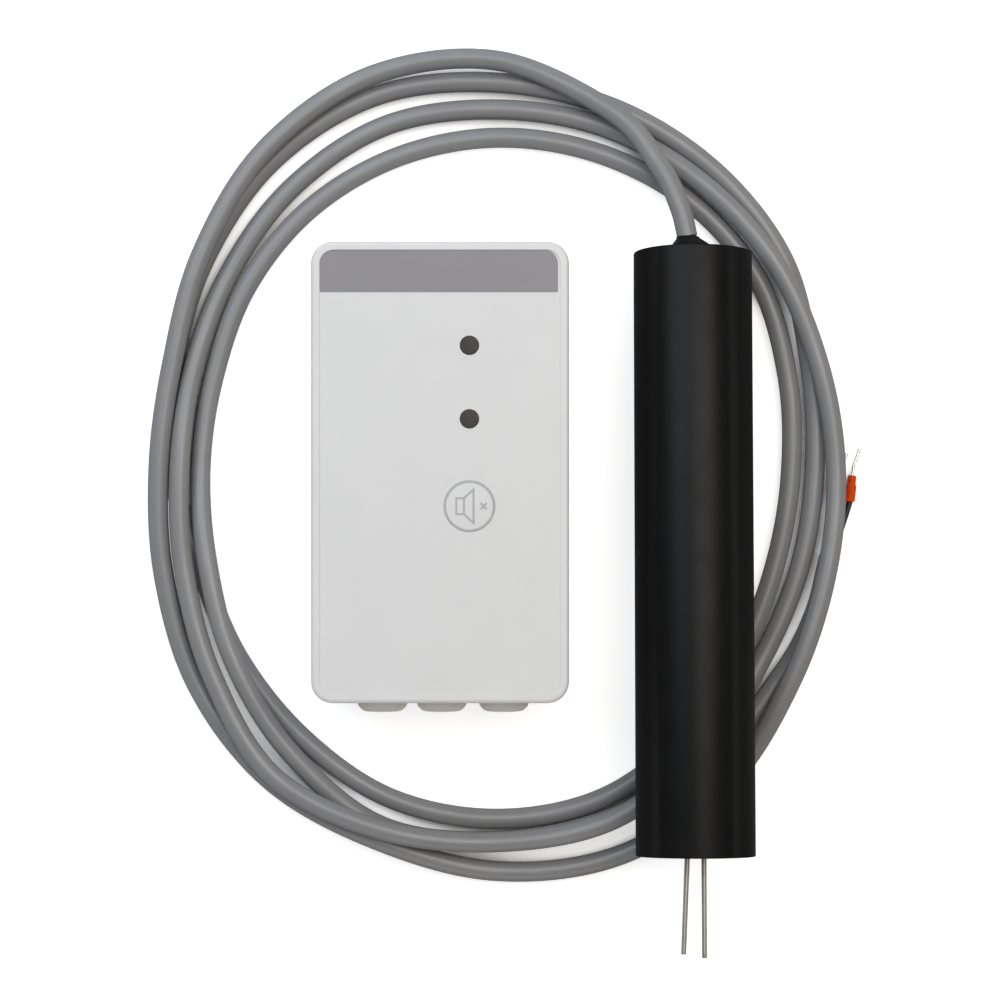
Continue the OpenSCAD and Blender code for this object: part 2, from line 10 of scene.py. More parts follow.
import json
import logging
import math
from dataclasses import dataclass
from enum import Enum
from typing import Any, Sequence

import bmesh
import bpy
import numpy as np
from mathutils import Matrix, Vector

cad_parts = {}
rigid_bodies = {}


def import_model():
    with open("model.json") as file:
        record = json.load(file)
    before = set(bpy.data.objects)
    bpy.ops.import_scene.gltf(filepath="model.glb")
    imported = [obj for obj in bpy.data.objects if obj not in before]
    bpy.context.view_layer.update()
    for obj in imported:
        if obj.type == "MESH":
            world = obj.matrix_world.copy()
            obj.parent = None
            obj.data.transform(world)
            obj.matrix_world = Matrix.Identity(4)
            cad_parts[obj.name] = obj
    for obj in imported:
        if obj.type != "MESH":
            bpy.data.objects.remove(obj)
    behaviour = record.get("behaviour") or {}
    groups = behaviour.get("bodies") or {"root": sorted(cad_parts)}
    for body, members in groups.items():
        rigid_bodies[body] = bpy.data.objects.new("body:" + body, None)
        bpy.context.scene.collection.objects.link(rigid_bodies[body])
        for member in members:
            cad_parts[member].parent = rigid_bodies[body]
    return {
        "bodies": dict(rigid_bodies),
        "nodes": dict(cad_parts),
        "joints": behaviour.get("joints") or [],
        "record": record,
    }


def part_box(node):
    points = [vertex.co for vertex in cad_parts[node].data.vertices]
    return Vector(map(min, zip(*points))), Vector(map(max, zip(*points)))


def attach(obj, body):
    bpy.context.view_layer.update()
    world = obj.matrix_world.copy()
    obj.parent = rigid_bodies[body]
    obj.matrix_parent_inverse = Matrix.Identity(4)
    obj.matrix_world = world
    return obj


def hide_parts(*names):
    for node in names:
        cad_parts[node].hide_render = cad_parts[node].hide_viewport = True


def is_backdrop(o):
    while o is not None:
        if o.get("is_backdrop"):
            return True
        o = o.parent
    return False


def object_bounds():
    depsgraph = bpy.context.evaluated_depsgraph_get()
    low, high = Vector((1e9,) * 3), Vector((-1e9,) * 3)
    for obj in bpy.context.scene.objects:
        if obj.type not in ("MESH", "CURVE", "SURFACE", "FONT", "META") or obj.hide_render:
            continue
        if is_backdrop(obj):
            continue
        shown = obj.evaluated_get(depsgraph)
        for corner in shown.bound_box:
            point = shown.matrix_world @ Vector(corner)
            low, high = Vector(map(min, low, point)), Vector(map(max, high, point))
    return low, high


LOG = logging.getLogger("level_alarm")
MM = 0.001

# For shapes: what keeps a sum from being zero, how far (in radians) a half angle stays
# from closed and from straight, and how near points are merged (in millimetres).
NO_ZERO = 1e-12
LEAST_TURN = 1e-3
MERGE_MM = 1e-3

# For finishes: the noise values between which it is spread, how much finer the second
# noise of a grain is and its share, the gloss patches in a metre, the roughness of a clear
# coat, and the Layer Weight values between which a surface grows duller.
NOISE_SPAN = (0.3, 0.7)
FINER_BY = 3.1
FINE_SHARE = 0.4
GLOSS_PATCHES = 90.0
COAT_ROUGHNESS = 0.08
EDGE_SPAN = (0.05, 0.42)

Array = np.ndarray
Triple = tuple[float, float, float]


class Body(str, Enum):
    """The names of the record's material slots for the new pieces' finishes."""

    HOUSING = "housing"
    KEY = "key"


class Slot(str, Enum):
    """The record's material slots that new pieces take their finish from."""

    HEADER = "header_print"
    KEY = "key"
    LAMP_WINDOW = "lamp_window"
    GROMMETS = "grommets"
    BARREL = "barrel"
    BOOT = "boot"
    JACKET = "jacket"
    ELECTRODE = "electrode_steel"
    CORE_BLACK = "core_black"
    CORE_WHITE = "core_white"
    COLLAR = "collar"
    PIN = "tinned_copper"


def unit(vectors: Array) -> Array:
    """Scales vectors to length 1: each is divided by the root of its squares' sum."""
    return vectors / np.linalg.norm(vectors, axis=-1, keepdims=True)


def box_mm(node: str) -> tuple[Array, Array]:
    """Gives the lowest and the highest corner of a node at rest, in millimetres."""
    low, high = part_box(node)
    return np.array(low) / MM, np.array(high) / MM


def in_scene(name: str, data: bpy.types.ID) -> bpy.types.Object:
    """Makes an object of a mesh, a curve, a lamp or a camera, and puts it into the scene.

    Args:
        name: The object's name.
        data: What it shows.

    Returns:
        The new object, at the origin.
    """
    made = bpy.data.objects.new(name, data)
    bpy.context.scene.collection.objects.link(made)
    return made


def softened(corners: Sequence[Triple], steps: int = 6) -> Array:
    """Rounds the corners of a closed outline with arcs.

    At a corner whose sides open by the angle 2h, an arc of radius r starts r / tan h
    before the corner, ends as far behind it, and has its centre r / sin h away on the
    bisector. Its points turn evenly from the one radius to the other.

    Args:
        corners: The place of each corner and the radius of its arc, 0 for a sharp one.
            A half angle stays LEAST_TURN away from closed and from straight.
        steps: How many points each arc has.

    Returns:
        The outline's points, steps of them for each corner.
    """
    table = np.array(corners, float)
    places, radii = table[:, :2], table[:, 2:]
    before = unit(np.roll(places, 1, axis=0) - places)
    after = unit(np.roll(places, -1, axis=0) - places)
    half = np.arccos(np.clip((before * after).sum(axis=1, keepdims=True), -1, 1)) / 2
    half = np.clip(half, LEAST_TURN, math.pi / 2 - LEAST_TURN)
    centre = places + unit(before + after + NO_ZERO) * radii / np.sin(half)
    start = places + before * radii / np.tan(half) - centre
    end = places + after * radii / np.tan(half) - centre
    open_angle = (math.pi - 2 * half)[:, None, :]
    share = np.linspace(0, 1, steps)[None, :, None]
    arcs = (
        np.sin((1 - share) * open_angle) * start[:, None, :]
        + np.sin(share * open_angle) * end[:, None, :]
    ) / np.sin(open_angle)
    rounded = centre[:, None, :] + arcs
    sharp = np.repeat(places[:, None, :], steps, axis=1)
    return np.where(radii[:, None, :] > 0, rounded, sharp).reshape(-1, 2)


def turned(outline: Array, steps: int) -> Array:
    """Turns an outline of radii and heights about the Z axis.

    The point at the angle a is (radius cos a, radius sin a, height).

    Args:
        outline: Rows of a radius and a height.
        steps: How many places round the axis.

    Returns:
        A grid of points with one row for each of the outline's.
    """
    angle = np.linspace(0, 2 * math.pi, steps, endpoint=False)[None, :]
    radius, height = outline[:, :1], outline[:, 1:]
    return np.stack(
        [radius * np.cos(angle), radius * np.sin(angle), height + 0 * angle], axis=-1
    )


def swept(path: Array, radii: Array, sides: int) -> Array:
    """Carries a circle along a path.

    Each ring stands square to the path. Its point at the angle a is the path's point
    plus the radius times (cos a side + sin a up), where side is level.

    Args:
        path: The points of the centreline.
        radii: The circle's radius at each of them.
        sides: How many points a ring has.

    Returns:
        A grid of points with one row for each of the path's.
    """
    ahead = unit(np.gradient(path, axis=0))
    side = unit(np.cross(np.array([0.0, 0.0, 1.0]), ahead))
    up = np.cross(ahead, side)
    angle = np.linspace(0, 2 * math.pi, sides, endpoint=False)[None, :, None]
    ring = np.cos(angle) * side[:, None, :] + np.sin(angle) * up[:, None, :]
    return path[:, None, :] + radii[:, None, None] * ring


def through(points: Array, steps: int) -> Array:
    """Runs a smooth line through points.

    Between P1 and P2, with their neighbours P0 and P3, the point at the share t is half
    of 2 P1 + (P2 - P0) t + (2 P0 - 5 P1 + 4 P2 - P3) t^2 + (3 P1 - P0 - 3 P2 + P3) t^3.
    Beyond each end the line is carried on straight.

    Args:
        points: The points to run through.
        steps: How many points for each stretch between two of them.

    Returns:
        The line's points, the last one included.
    """
    first = 2 * points[:1] - points[1:2]
    last = 2 * points[-1:] - points[-2:-1]
    padded = np.concatenate([first, points, last])
    p0, p1, p2, p3 = (padded[i : len(padded) - 3 + i, None, :] for i in range(4))
    t = np.linspace(0, 1, steps, endpoint=False)[None, :, None]
    line = 0.5 * (
        2 * p1
        + (p2 - p0) * t
        + (2 * p0 - 5 * p1 + 4 * p2 - p3) * t**2
        + (3 * p1 - p0 - 3 * p2 + p3) * t**3
    )
    return np.concatenate([line.reshape(-1, 3), points[-1:]])


def run_length(path: Array) -> Array:
    """Gives how far along a path each of its points lies."""
    return np.concatenate([[0.0], np.cumsum(np.linalg.norm(np.diff(path, axis=0), axis=1))])


def blunt_ended(
    path: Array, radius: float, edge: float, steps: int = 6
) -> tuple[Array, Array]:
    """Rounds the edges at both ends of a rod.

    At the angle a from 0 to 90 degrees, a ring lies edge (1 - cos a) from the end and is
    edge (1 - sin a) thinner than the rod.

    Args:
        path: The rod's centreline.
        radius: The rod's radius.
        edge: The radius of its edges.
        steps: How many rings each edge has.

    Returns:
        The rings' centres, and their radii.
    """
    run = run_length(path)
    clear = 1.2 * edge
    angle = np.linspace(0, math.pi / 2, steps)
    near = edge * (1 - np.cos(angle))
    thin = radius - edge * (1 - np.sin(angle))
    middle = run[(run > clear) & (run < run[-1] - clear)]
    places = np.concatenate([near, middle, run[-1] - near[::-1]])
    radii = np.concatenate([thin, np.full(len(middle), radius), thin[::-1]])
    return np.stack([np.interp(places, run, path[:, i]) for i in range(3)], axis=1), radii


def set_down(
    piece: bpy.types.Object, body: Body, slot: Slot, replaced: Sequence[str]
) -> bpy.types.Object:
    """Puts a piece on its body and reports it.

    Args:
        piece: The finished piece.
        body: What it moves with.
        slot: The record's slot of its finish; not used.
        replaced: The nodes that it stands for.

    Returns:
        The same piece.
    """
    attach(piece, body.value)
    if replaced:
        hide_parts(*replaced)
    LOG.info("piece %s rides on %s, stands for %s", piece.name, body.value, list(replaced))
    return piece


class Draft:
    """Collects grids of points in millimetres and makes one piece of them."""

    def __init__(self) -> None:
        """Starts with no points."""
        self.points: list[Array] = []
        self.faces: list[list[int]] = []
        self.count = 0

    def grid(self, points: Array, wrap_rows: bool = True, capped: bool = False) -> Draft:
        """Adds rings of points with a face for each cell between them.

        A cell joins the points (i, j), (i, j + 1), (i + 1, j + 1) and (i + 1, j). Each
        row is a ring: its last point is joined to its first.

        Args:
            points: The grid, with the places in its last axis.
            wrap_rows: Whether the last ring is joined to the first.
            capped: Whether a face lies over each of these two.

        Returns:
            The same draft.
        """
        rows, columns = points.shape[:2]
        index = self.count + np.arange(rows * columns).reshape(rows, columns)
        right = np.roll(index, -1, axis=1)
        cells = np.stack(
            [index, right, np.roll(right, -1, axis=0), np.roll(index, -1, axis=0)], axis=-1
        )
        cells = cells if wrap_rows else cells[:-1]
        self.points.append(points.reshape(-1, 3))
        self.faces.extend(cells.reshape(-1, 4).tolist())
        self.count += rows * columns
        if capped:
            self.faces.extend([index[0].tolist(), index[-1].tolist()])
        return self

    def cap(self, points: Array) -> Draft:
        """Adds rings whose first and last one shrink to a point or lie on the axis."""
        return self.grid(points, wrap_rows=False)

    def tube(self, points: Array) -> Draft:
        """Adds rings of points as a tube, with a face over each end."""
        return self.grid(points, wrap_rows=False, capped=True)

    def set_down(
        self,
        name: str,
        palette: Palette,
        body: Body,
        slot: Slot,
        replaced: Sequence[str] = (),
        sharp: float = 40.0,
    ) -> bpy.types.Object:
        """Makes the piece, with equal points merged and faces turned outwards.

        Args:
            name: The piece's name.
            palette: What its surface is like.
            body: What it moves with.
            slot: The record's slot of its finish.
            replaced: The nodes that it stands for.
            sharp: Edges that turn by more than this angle, in degrees, stay sharp.

        Returns:
            The new piece, at the origin.
        """
        mesh = bpy.data.meshes.new(name)
        mesh.from_pydata((np.concatenate(self.points) * MM).tolist(), [], self.faces)
        work = bmesh.new()
        work.from_mesh(mesh)
        bmesh.ops.remove_doubles(work, verts=work.verts, dist=MERGE_MM * MM)
        bmesh.ops.recalc_face_normals(work, faces=work.faces)
        work.to_mesh(mesh)
        work.free()
        mesh.shade_smooth()
        mesh.set_sharp_from_angle(angle=math.radians(sharp))
        mesh.materials.append(palette.value.material())
        return set_down(in_scene(name, mesh), body, slot, replaced)


class Graph:
    """Adds nodes to a shader tree and joins them."""

    def __init__(self, tree: bpy.types.NodeTree) -> None:
        """Takes the tree to work in."""
        self.tree = tree

    @classmethod
    def fresh(cls, owner: bpy.types.ID) -> Graph:
        """Empties the shader tree of a material or a world, to work in it.

        Args:
            owner: The material or the world.

        Returns:
            What adds nodes to the tree.
        """
        owner.use_nodes = True
        owner.node_tree.nodes.clear()
        return cls(owner.node_tree)

    def add(
        self, kind: str, inputs: dict[Any, Any] | None = None, **settings: Any
    ) -> bpy.types.Node:
        """Adds a node.

        Args:
            kind: The node's type.
            inputs: For each input, by name or number, a value or the socket to join to it.
            settings: The node's own properties.

        Returns:
            The new node.
        """
        node = self.tree.nodes.new(kind)
        for key, value in settings.items():
            setattr(node, key, value)
        for key, value in (inputs or {}).items():
            if isinstance(value, bpy.types.NodeSocket):
                self.tree.links.new(value, node.inputs[key])
            else:
                node.inputs[key].default_value = value
        return node

    def math(self, operation: str, *values: Any) -> bpy.types.NodeSocket:
        """Works something out of one to three values or sockets."""
        return self.add(
            "ShaderNodeMath", dict(enumerate(values)), operation=operation
        ).outputs[0]

    def noise(
        self, place: bpy.types.NodeSocket, scale: Any, detail: float, distortion: float = 0.0
    ) -> bpy.types.NodeSocket:
        """Gives soft noise at a place.

        Args:
            place: The place.
            scale: How many patches a metre holds.
            detail: How many finer layers are laid over them.
            distortion: How far the patches are bent.

        Returns:
            The noise, from 0 to 1.
        """
        inputs = {"Vector": place, "Scale": scale, "Detail": detail, "Distortion": distortion}
        return self.add("ShaderNodeTexNoise", inputs).outputs[0]

    def spread(
        self, value: Any, span: tuple[float, float], low: Any, high: Any, kind: str = "LINEAR"
    ) -> bpy.types.NodeSocket:
        """Carries a value from one range into another, and stops at its ends.

        Args:
            value: The value.
            span: The range that it lies in.
            low: What the span's start becomes.
            high: What the span's end becomes.
            kind: The way between the two, such as SMOOTHSTEP.

        Returns:
            The new value.
        """
        inputs = {
            "Value": value, "From Min": span[0], "From Max": span[1], "To Min": low, "To Max": high
        }
        return self.add("ShaderNodeMapRange", inputs, interpolation_type=kind).outputs[0]


def opaque(colour: Triple) -> tuple[float, float, float, float]:
    """Adds a full alpha to a colour."""
    return (*colour, 1.0)


class Effect(Enum):
    """The shader groups that finishes share."""

    GRAIN = "Surface grain"
    MOTTLE = "Two tones"
    HANDLING = "Uneven gloss"

    def group(self) -> bpy.types.NodeTree:
        """Gives the group, and builds it the first time.

        Returns:
            The group's tree.
        """
        made = bpy.data.node_groups.get(self.value)
        if made:
            return made
        tree = bpy.data.node_groups.new(self.value, "ShaderNodeTree")
        builders = {
            Effect.GRAIN: self._grain,
            Effect.MOTTLE: self._mottle,
            Effect.HANDLING: self._handling,
        }
        builders[self](tree)
        return tree

    @staticmethod
    def _sockets(
        tree: bpy.types.NodeTree, result: str, kind: str, **inputs: str
    ) -> tuple[Graph, Any]:
        """Gives a group its named inputs and its output.

        Args:
            tree: The group's tree.
            result: The output's name.
            kind: The output's kind.
            inputs: The kind of each input.

        Returns:
            What adds nodes to the tree, and the sockets that bring the inputs in.
        """
        for name, taken in inputs.items():
            tree.interface.new_socket(
                name=name, in_out="INPUT", socket_type=f"NodeSocket{taken}"
            )
        tree.interface.new_socket(
            name=result, in_out="OUTPUT", socket_type=f"NodeSocket{kind}"
        )
        graph = Graph(tree)
        return graph, graph.add("NodeGroupInput").outputs

    @classmethod
    def _grain(cls, tree: bpy.types.NodeTree) -> None:
        """Height of a fine grain: coarse noise, plus a share of noise three times finer.

        Args:
            tree: The group's tree.
        """
        graph, given = cls._sockets(
            tree, "Height", "Float", Vector="Vector", Scale="Float", Fineness="Float"
        )
        coarse = graph.noise(given["Vector"], given["Scale"], 3.0)
        finer = graph.math("MULTIPLY", given["Scale"], FINER_BY)
        fine = graph.noise(given["Vector"], finer, 2.0)
        height = graph.math("MULTIPLY_ADD", fine, given["Fineness"], coarse)
        graph.add("NodeGroupOutput", {"Height": height})

    @classmethod
    def _mottle(cls, tree: bpy.types.NodeTree) -> None:
        """Colour between two tones, by broad soft noise.

        Args:
            tree: The group's tree.
        """
        graph, given = cls._sockets(
            tree, "Colour", "Color", Vector="Vector", Scale="Float", Light="Color", Dark="Color"
        )
        noise = graph.noise(given["Vector"], given["Scale"], 4.0)
        share = graph.spread(noise, NOISE_SPAN, 0.0, 1.0)
        mix = graph.add(
            "ShaderNodeMix",
            {"Factor": share, "A": given["Light"], "B": given["Dark"]},
            data_type="RGBA",
        )
        graph.add("NodeGroupOutput", {"Colour": mix.outputs["Result"]})

    @classmethod
    def _handling(cls, tree: bpy.types.NodeTree) -> None:
        """Roughness between two values, by patches as fingers and packing leave them.

        Args:
            tree: The group's tree.
        """
        graph, given = cls._sockets(
            tree, "Roughness", "Float",
            Vector="Vector", Scale="Float", Smooth="Float", Rough="Float",
        )
        noise = graph.noise(given["Vector"], given["Scale"], 5.0, distortion=0.6)
        rough = graph.spread(noise, NOISE_SPAN, given["Smooth"], given["Rough"])
        graph.add("NodeGroupOutput", {"Roughness": rough})


@dataclass(frozen=True)
class Finish:
    """What a surface is like: two close tones, a range of gloss and a grain.

    Attributes:
        name: The material's name.
        light: The lighter tone.
        dark: The darker tone.
        smooth: The roughness of the smoothest patches.
        rough: The roughness of the roughest patches.
        grain: How many grains a metre holds.
        relief: How high the grain stands, in millimetres.
        stretch: The grain's scale along each axis, small along its lines.
        turn: How far the grain is turned about the X axis, in degrees.
        tone_scale: How many patches of a tone a metre holds.
        metallic: 1 for bare metal.
        specular: How strongly the surface mirrors, 0.5 for common plastic.
        edge_rough: The roughness where the surface is seen edge on, 0 for no change.
        coat: The weight of a clear coat.
    """

    name: str
    light: Triple
    dark: Triple
    smooth: float = 0.4
    rough: float = 0.5
    grain: float = 3000.0
    relief: float = 0.01
    stretch: Triple = (1.0, 1.0, 1.0)
    turn: float = 0.0
    tone_scale: float = 60.0
    metallic: float = 0.0
    specular: float = 0.5
    edge_rough: float = 0.0
    coat: float = 0.0

    def material(self) -> bpy.types.Material:
        """Gives the material, and builds it the first time.

        Returns:
            The material.
        """
        made = bpy.data.materials.get(self.name)
        if made:
            return made
        material = bpy.data.materials.new(self.name)
        graph = Graph.fresh(material)
        place = graph.add("ShaderNodeTexCoord").outputs["Object"]
        shader = graph.add(
            "ShaderNodeBsdfPrincipled",
            {
                "Base Color": self.colour(graph, place),
                "Roughness": self.roughness(graph, place),
                "Normal": self.normal(graph, place),
                "Metallic": self.metallic,
                "Specular IOR Level": self.specular,
                "Coat Weight": self.coat,
                "Coat Roughness": COAT_ROUGHNESS,
            },
        )
        graph.add("ShaderNodeOutputMaterial", {"Surface": shader.outputs[0]})
        return material

    @staticmethod
    def effect(
        graph: Graph, effect: Effect, place: bpy.types.NodeSocket, **inputs: Any
    ) -> bpy.types.NodeSocket:
        """Places a shared group with its own values.

        Args:
            graph: The material's tree.
            effect: The group.
            place: The places on the surface.
            inputs: The group's other inputs.

        Returns:
            The group's output.
        """
        given = {"Vector": place, **inputs}
        return graph.add("ShaderNodeGroup", given, node_tree=effect.group()).outputs[0]

    def colour(self, graph: Graph, place: bpy.types.NodeSocket) -> bpy.types.NodeSocket:
        """Gives the colour at each place of the surface."""
        tones = {"Light": opaque(self.light), "Dark": opaque(self.dark)}
        return self.effect(graph, Effect.MOTTLE, place, Scale=self.tone_scale, **tones)

    def roughness(self, graph: Graph, place: bpy.types.NodeSocket) -> bpy.types.NodeSocket:
        """Makes patches of gloss, duller towards the outline if asked for.

        Args:
            graph: The material's tree.
            place: The places on the surface.

        Returns:
            The roughness at each place.
        """
        gloss = {"Smooth": self.smooth, "Rough": self.rough}
        patches = self.effect(graph, Effect.HANDLING, place, Scale=GLOSS_PATCHES, **gloss)
        if not self.edge_rough:
            return patches
        facing = graph.add("ShaderNodeLayerWeight", {"Blend": 0.5}).outputs["Facing"]
        edge = graph.spread(facing, EDGE_SPAN, 0.0, self.edge_rough, "SMOOTHSTEP")
        return graph.math("MAXIMUM", patches, edge)

    def normal(self, graph: Graph, place: bpy.types.NodeSocket) -> bpy.types.NodeSocket:
        """Tilts the surface by its grain, which may be turned and stretched into lines.

        Args:
            graph: The material's tree.
            place: The places on the surface.

        Returns:
            The normal at each place.
        """
        laid = {"Vector": place, "Rotation": (math.radians(self.turn), 0, 0), "Scale": self.stretch}
        lay = graph.add("ShaderNodeMapping", laid).outputs[0]
        height = self.effect(graph, Effect.GRAIN, lay, Scale=self.grain, Fineness=FINE_SHARE)
        bump = graph.add("ShaderNodeBump", {"Height": height, "Distance": self.relief * MM})
        return bump.outputs[0]


class Palette(Enum):
    """The finishes of the object's pieces."""

    HOUSING = Finish(
        "Moulded light grey shell", (0.7, 0.692, 0.698), (0.682, 0.674, 0.68), 0.42, 0.5,
        grain=2600.0, relief=0.012,
    )
    FOIL = Finish(
        "Printed light grey foil", (0.685, 0.683, 0.685), (0.668, 0.666, 0.669), 0.5, 0.58,
        grain=6000.0, relief=0.004,
    )
    HEADER = Finish(
        "Mid grey header print", (0.253, 0.245, 0.262), (0.244, 0.236, 0.253), 0.5, 0.58,
        grain=6000.0, relief=0.004,
    )
    INK = Finish(
        "Grey line print", (0.43, 0.43, 0.445), (0.4, 0.4, 0.415), 0.5, 0.6,
        grain=6000.0, relief=0.004,
    )
    LENS = Finish(
        "Smoked lamp lens", (0.054, 0.048, 0.047), (0.046, 0.04, 0.04), 0.4, 0.5, 900.0, 0.01,
        tone_scale=700.0, specular=0.22,
    )
    GROMMET = Finish(
        "Pale grey soft rubber", (0.87, 0.835, 0.79), (0.84, 0.805, 0.76), 0.62, 0.75, 1800.0, 0.02
    )
    BARREL = Finish(
        "Black drawn tube", (0.003, 0.003, 0.0034), (0.0025, 0.0024, 0.0022), 0.34, 0.42, 2200.0,
        0.003, stretch=(1.0, 0.02, 1.0), turn=4.5, specular=0.18, edge_rough=1.0,
    )
    RESIN = Finish(
        "Black moulded resin", (0.009, 0.009, 0.0095), (0.006, 0.006, 0.006), 0.35, 0.6,
        grain=900.0, relief=0.02, specular=0.4,
    )
    BOOT = Finish(
        "Black soft rubber", (0.005, 0.005, 0.0055), (0.004, 0.004, 0.004), 0.6, 0.75, 2000.0, 0.02,
        specular=0.12,
    )
    JACKET = Finish(
        "Grey cable jacket", (0.23, 0.23, 0.238), (0.209, 0.209, 0.216), 0.32, 0.4, 1500.0, 0.01,
        tone_scale=45.0, specular=0.65, edge_rough=0.9,
    )
    ELECTRODE = Finish(
        "Drawn stainless rod", (0.4, 0.382, 0.35), (0.36, 0.342, 0.315), 0.36, 0.46, 5000.0, 0.003,
        stretch=(1.0, 0.03, 1.0), turn=4.5, tone_scale=400.0, metallic=1.0,
    )
    PIN = Finish(
        "Tinned copper", (0.9, 0.88, 0.85), (0.84, 0.82, 0.78), 0.3, 0.42, 5000.0, 0.004,
        tone_scale=500.0, metallic=1.0,
    )
    COLLAR = Finish(
        "Orange ferrule collar", (0.78, 0.072, 0.001), (0.68, 0.053, 0.001), 0.5, 0.6,
        grain=2500.0, relief=0.006, tone_scale=300.0, specular=0.12,
    )
    CORE_BLACK = Finish(
        "Black core", (0.013, 0.013, 0.014), (0.01, 0.01, 0.01), 0.4, 0.5, 2500.0, 0.006
    )
    CORE_WHITE = Finish("White core", (0.76, 0.76, 0.74), (0.7, 0.7, 0.67), 0.4, 0.5, 2500.0, 0.006)
    BOARD = Finish(
        "Green board lacquer", (0.015, 0.13, 0.045), (0.01, 0.09, 0.03), 0.25, 0.35, 900.0, 0.02,
        tone_scale=500.0, coat=0.3,
    )
    BLACK_PLASTIC = Finish(
        "Black moulded plastic", (0.02, 0.02, 0.021), (0.015, 0.015, 0.015), 0.45, 0.6,
        grain=2400.0, relief=0.012,
    )
    TRANSFORMER = Finish(
        "Dark blue potting case", (0.018, 0.035, 0.14), (0.012, 0.025, 0.1), 0.4, 0.55,
        grain=2000.0, relief=0.012,
    )
    CERAMIC = Finish(
        "White fuse ceramic", (0.76, 0.76, 0.72), (0.7, 0.7, 0.66), 0.3, 0.4, 1500.0, 0.01
    )
    BRASS = Finish(
        "Bright spring brass", (0.78, 0.58, 0.27), (0.66, 0.47, 0.2), 0.22, 0.34, 3000.0, 0.004,
        stretch=(1.0, 0.1, 1.0), metallic=1.0,
    )
    GREEN_TERMINAL = Finish(
        "Green polyamide", (0.035, 0.3, 0.12), (0.028, 0.25, 0.1), 0.4, 0.5, 2400.0, 0.01
    )
    GREY_TERMINAL = Finish(
        "Grey polyamide", (0.3, 0.3, 0.31), (0.27, 0.27, 0.28), 0.4, 0.5, 2400.0, 0.01
    )
    ZINC = Finish(
        "Zinc plated steel", (0.62, 0.61, 0.6), (0.52, 0.51, 0.5), 0.26, 0.38, 3500.0, 0.004,
        tone_scale=400.0, metallic=1.0,
    )
    RED_LENS = Finish(
        "Red diffused epoxy", (0.55, 0.02, 0.02), (0.48, 0.015, 0.015), 0.12, 0.2, 900.0, 0.002,
        coat=0.3,
    )
    GREEN_LENS = Finish(
        "Green diffused epoxy", (0.03, 0.42, 0.06), (0.025, 0.36, 0.05), 0.12, 0.2, 900.0, 0.002,
        coat=0.3,
    )
    CAPACITOR = Finish(
        "Dark blue shrink sleeve", (0.03, 0.03, 0.12), (0.024, 0.024, 0.1), 0.22, 0.32,
        grain=1500.0, relief=0.006,
    )
    VARISTOR = Finish(
        "Blue epoxy coat", (0.05, 0.16, 0.42), (0.04, 0.13, 0.36), 0.25, 0.4, 700.0, 0.02
    )
    SLEEVE = Finish(
        "Brown shrink sleeve", (0.38, 0.12, 0.025), (0.32, 0.1, 0.02), 0.4, 0.5, 1500.0, 0.01
    )


NODE_FINISHES: dict[Palette, tuple[str, ...]] = {
    Palette.HOUSING: ("base_shell", "cover_shell"),
    Palette.FOIL: ("front_foil",),
    Palette.BOARD: ("circuit_board",),
    Palette.BLACK_PLASTIC: (
        "mute_switch_button", "led_spacers", "relay", "buzzer", "rectifier", "regulator",
        "comparator_chip",
    ),
    Palette.TRANSFORMER: ("transformer",),
    Palette.CERAMIC: ("fuse",),
    Palette.BRASS: ("fuse_clips",),
    Palette.GREEN_TERMINAL: ("mains_terminal", "relay_terminal"),
    Palette.GREY_TERMINAL: ("probe_terminal",),
    Palette.ZINC: ("board_screws", "terminal_screws", "mute_switch"),
    Palette.RED_LENS: ("alarm_led",),
    Palette.GREEN_LENS: ("normal_led",),
    Palette.CAPACITOR: ("smoothing_capacitor",),
    Palette.VARISTOR: ("varistor",),
    Palette.RESIN: ("probe_head", "probe_nose", "potting"),
    Palette.SLEEVE: ("electrode_sleeves",),
    Palette.CORE_BLACK: ("inner_core_black",),
    Palette.CORE_WHITE: ("inner_core_white",),
}


@dataclass
class PhotoCamera:
    """A camera straight above the set, with the photograph's place and angle.

    Attributes:
        place: Where the lens is, in millimetres.
        focal_px: The focal length in pixels of the frame.
        frame_px: The frame's width in pixels.
        sensor: The sensor's width in millimetres.
        near: The shortest distance that the camera sees, in metres.
    """

    place: Triple = (16.5, -7.6, 850.0)
    focal_px: float = 2956.0
    frame_px: float = 1000.0
    sensor: float = 36.0
    near: float = 0.01

    def build(self) -> None:
        """Makes the camera, looking down with the unit's upper end at the top."""
        data = bpy.data.cameras.new("photo_camera")
        data.sensor_width = self.sensor
        data.lens = self.focal_px * self.sensor / self.frame_px
        data.clip_start = self.near
        camera = in_scene("photo_camera", data)
        camera.location = [v * MM for v in self.place]
        bpy.context.scene.camera = camera


@dataclass(frozen=True)
class Lamp:
    """A soft rectangular lamp.

    Attributes:
        name: The lamp's name.
        place: Where it hangs, in metres.
        size: Its width and height in metres.
        power: Its power in watts.
        colour: The colour of its light.
        aim: What it points at, in metres.
    """

    name: str
    place: Triple
    size: tuple[float, float]
    power: float
    colour: Triple
    aim: Triple = (0.02, 0.0, 0.0)

    def build(self) -> None:
        """Makes the lamp."""
        data = bpy.data.lights.new(self.name, "AREA")
        data.shape = "RECTANGLE"
        data.size, data.size_y = self.size
        data.energy = self.power
        data.color = self.colour
        lamp = in_scene(self.name, data)
        lamp.location = self.place
        ahead = Vector(self.aim) - Vector(self.place)
        lamp.rotation_euler = ahead.to_track_quat("-Z", "Y").to_euler()


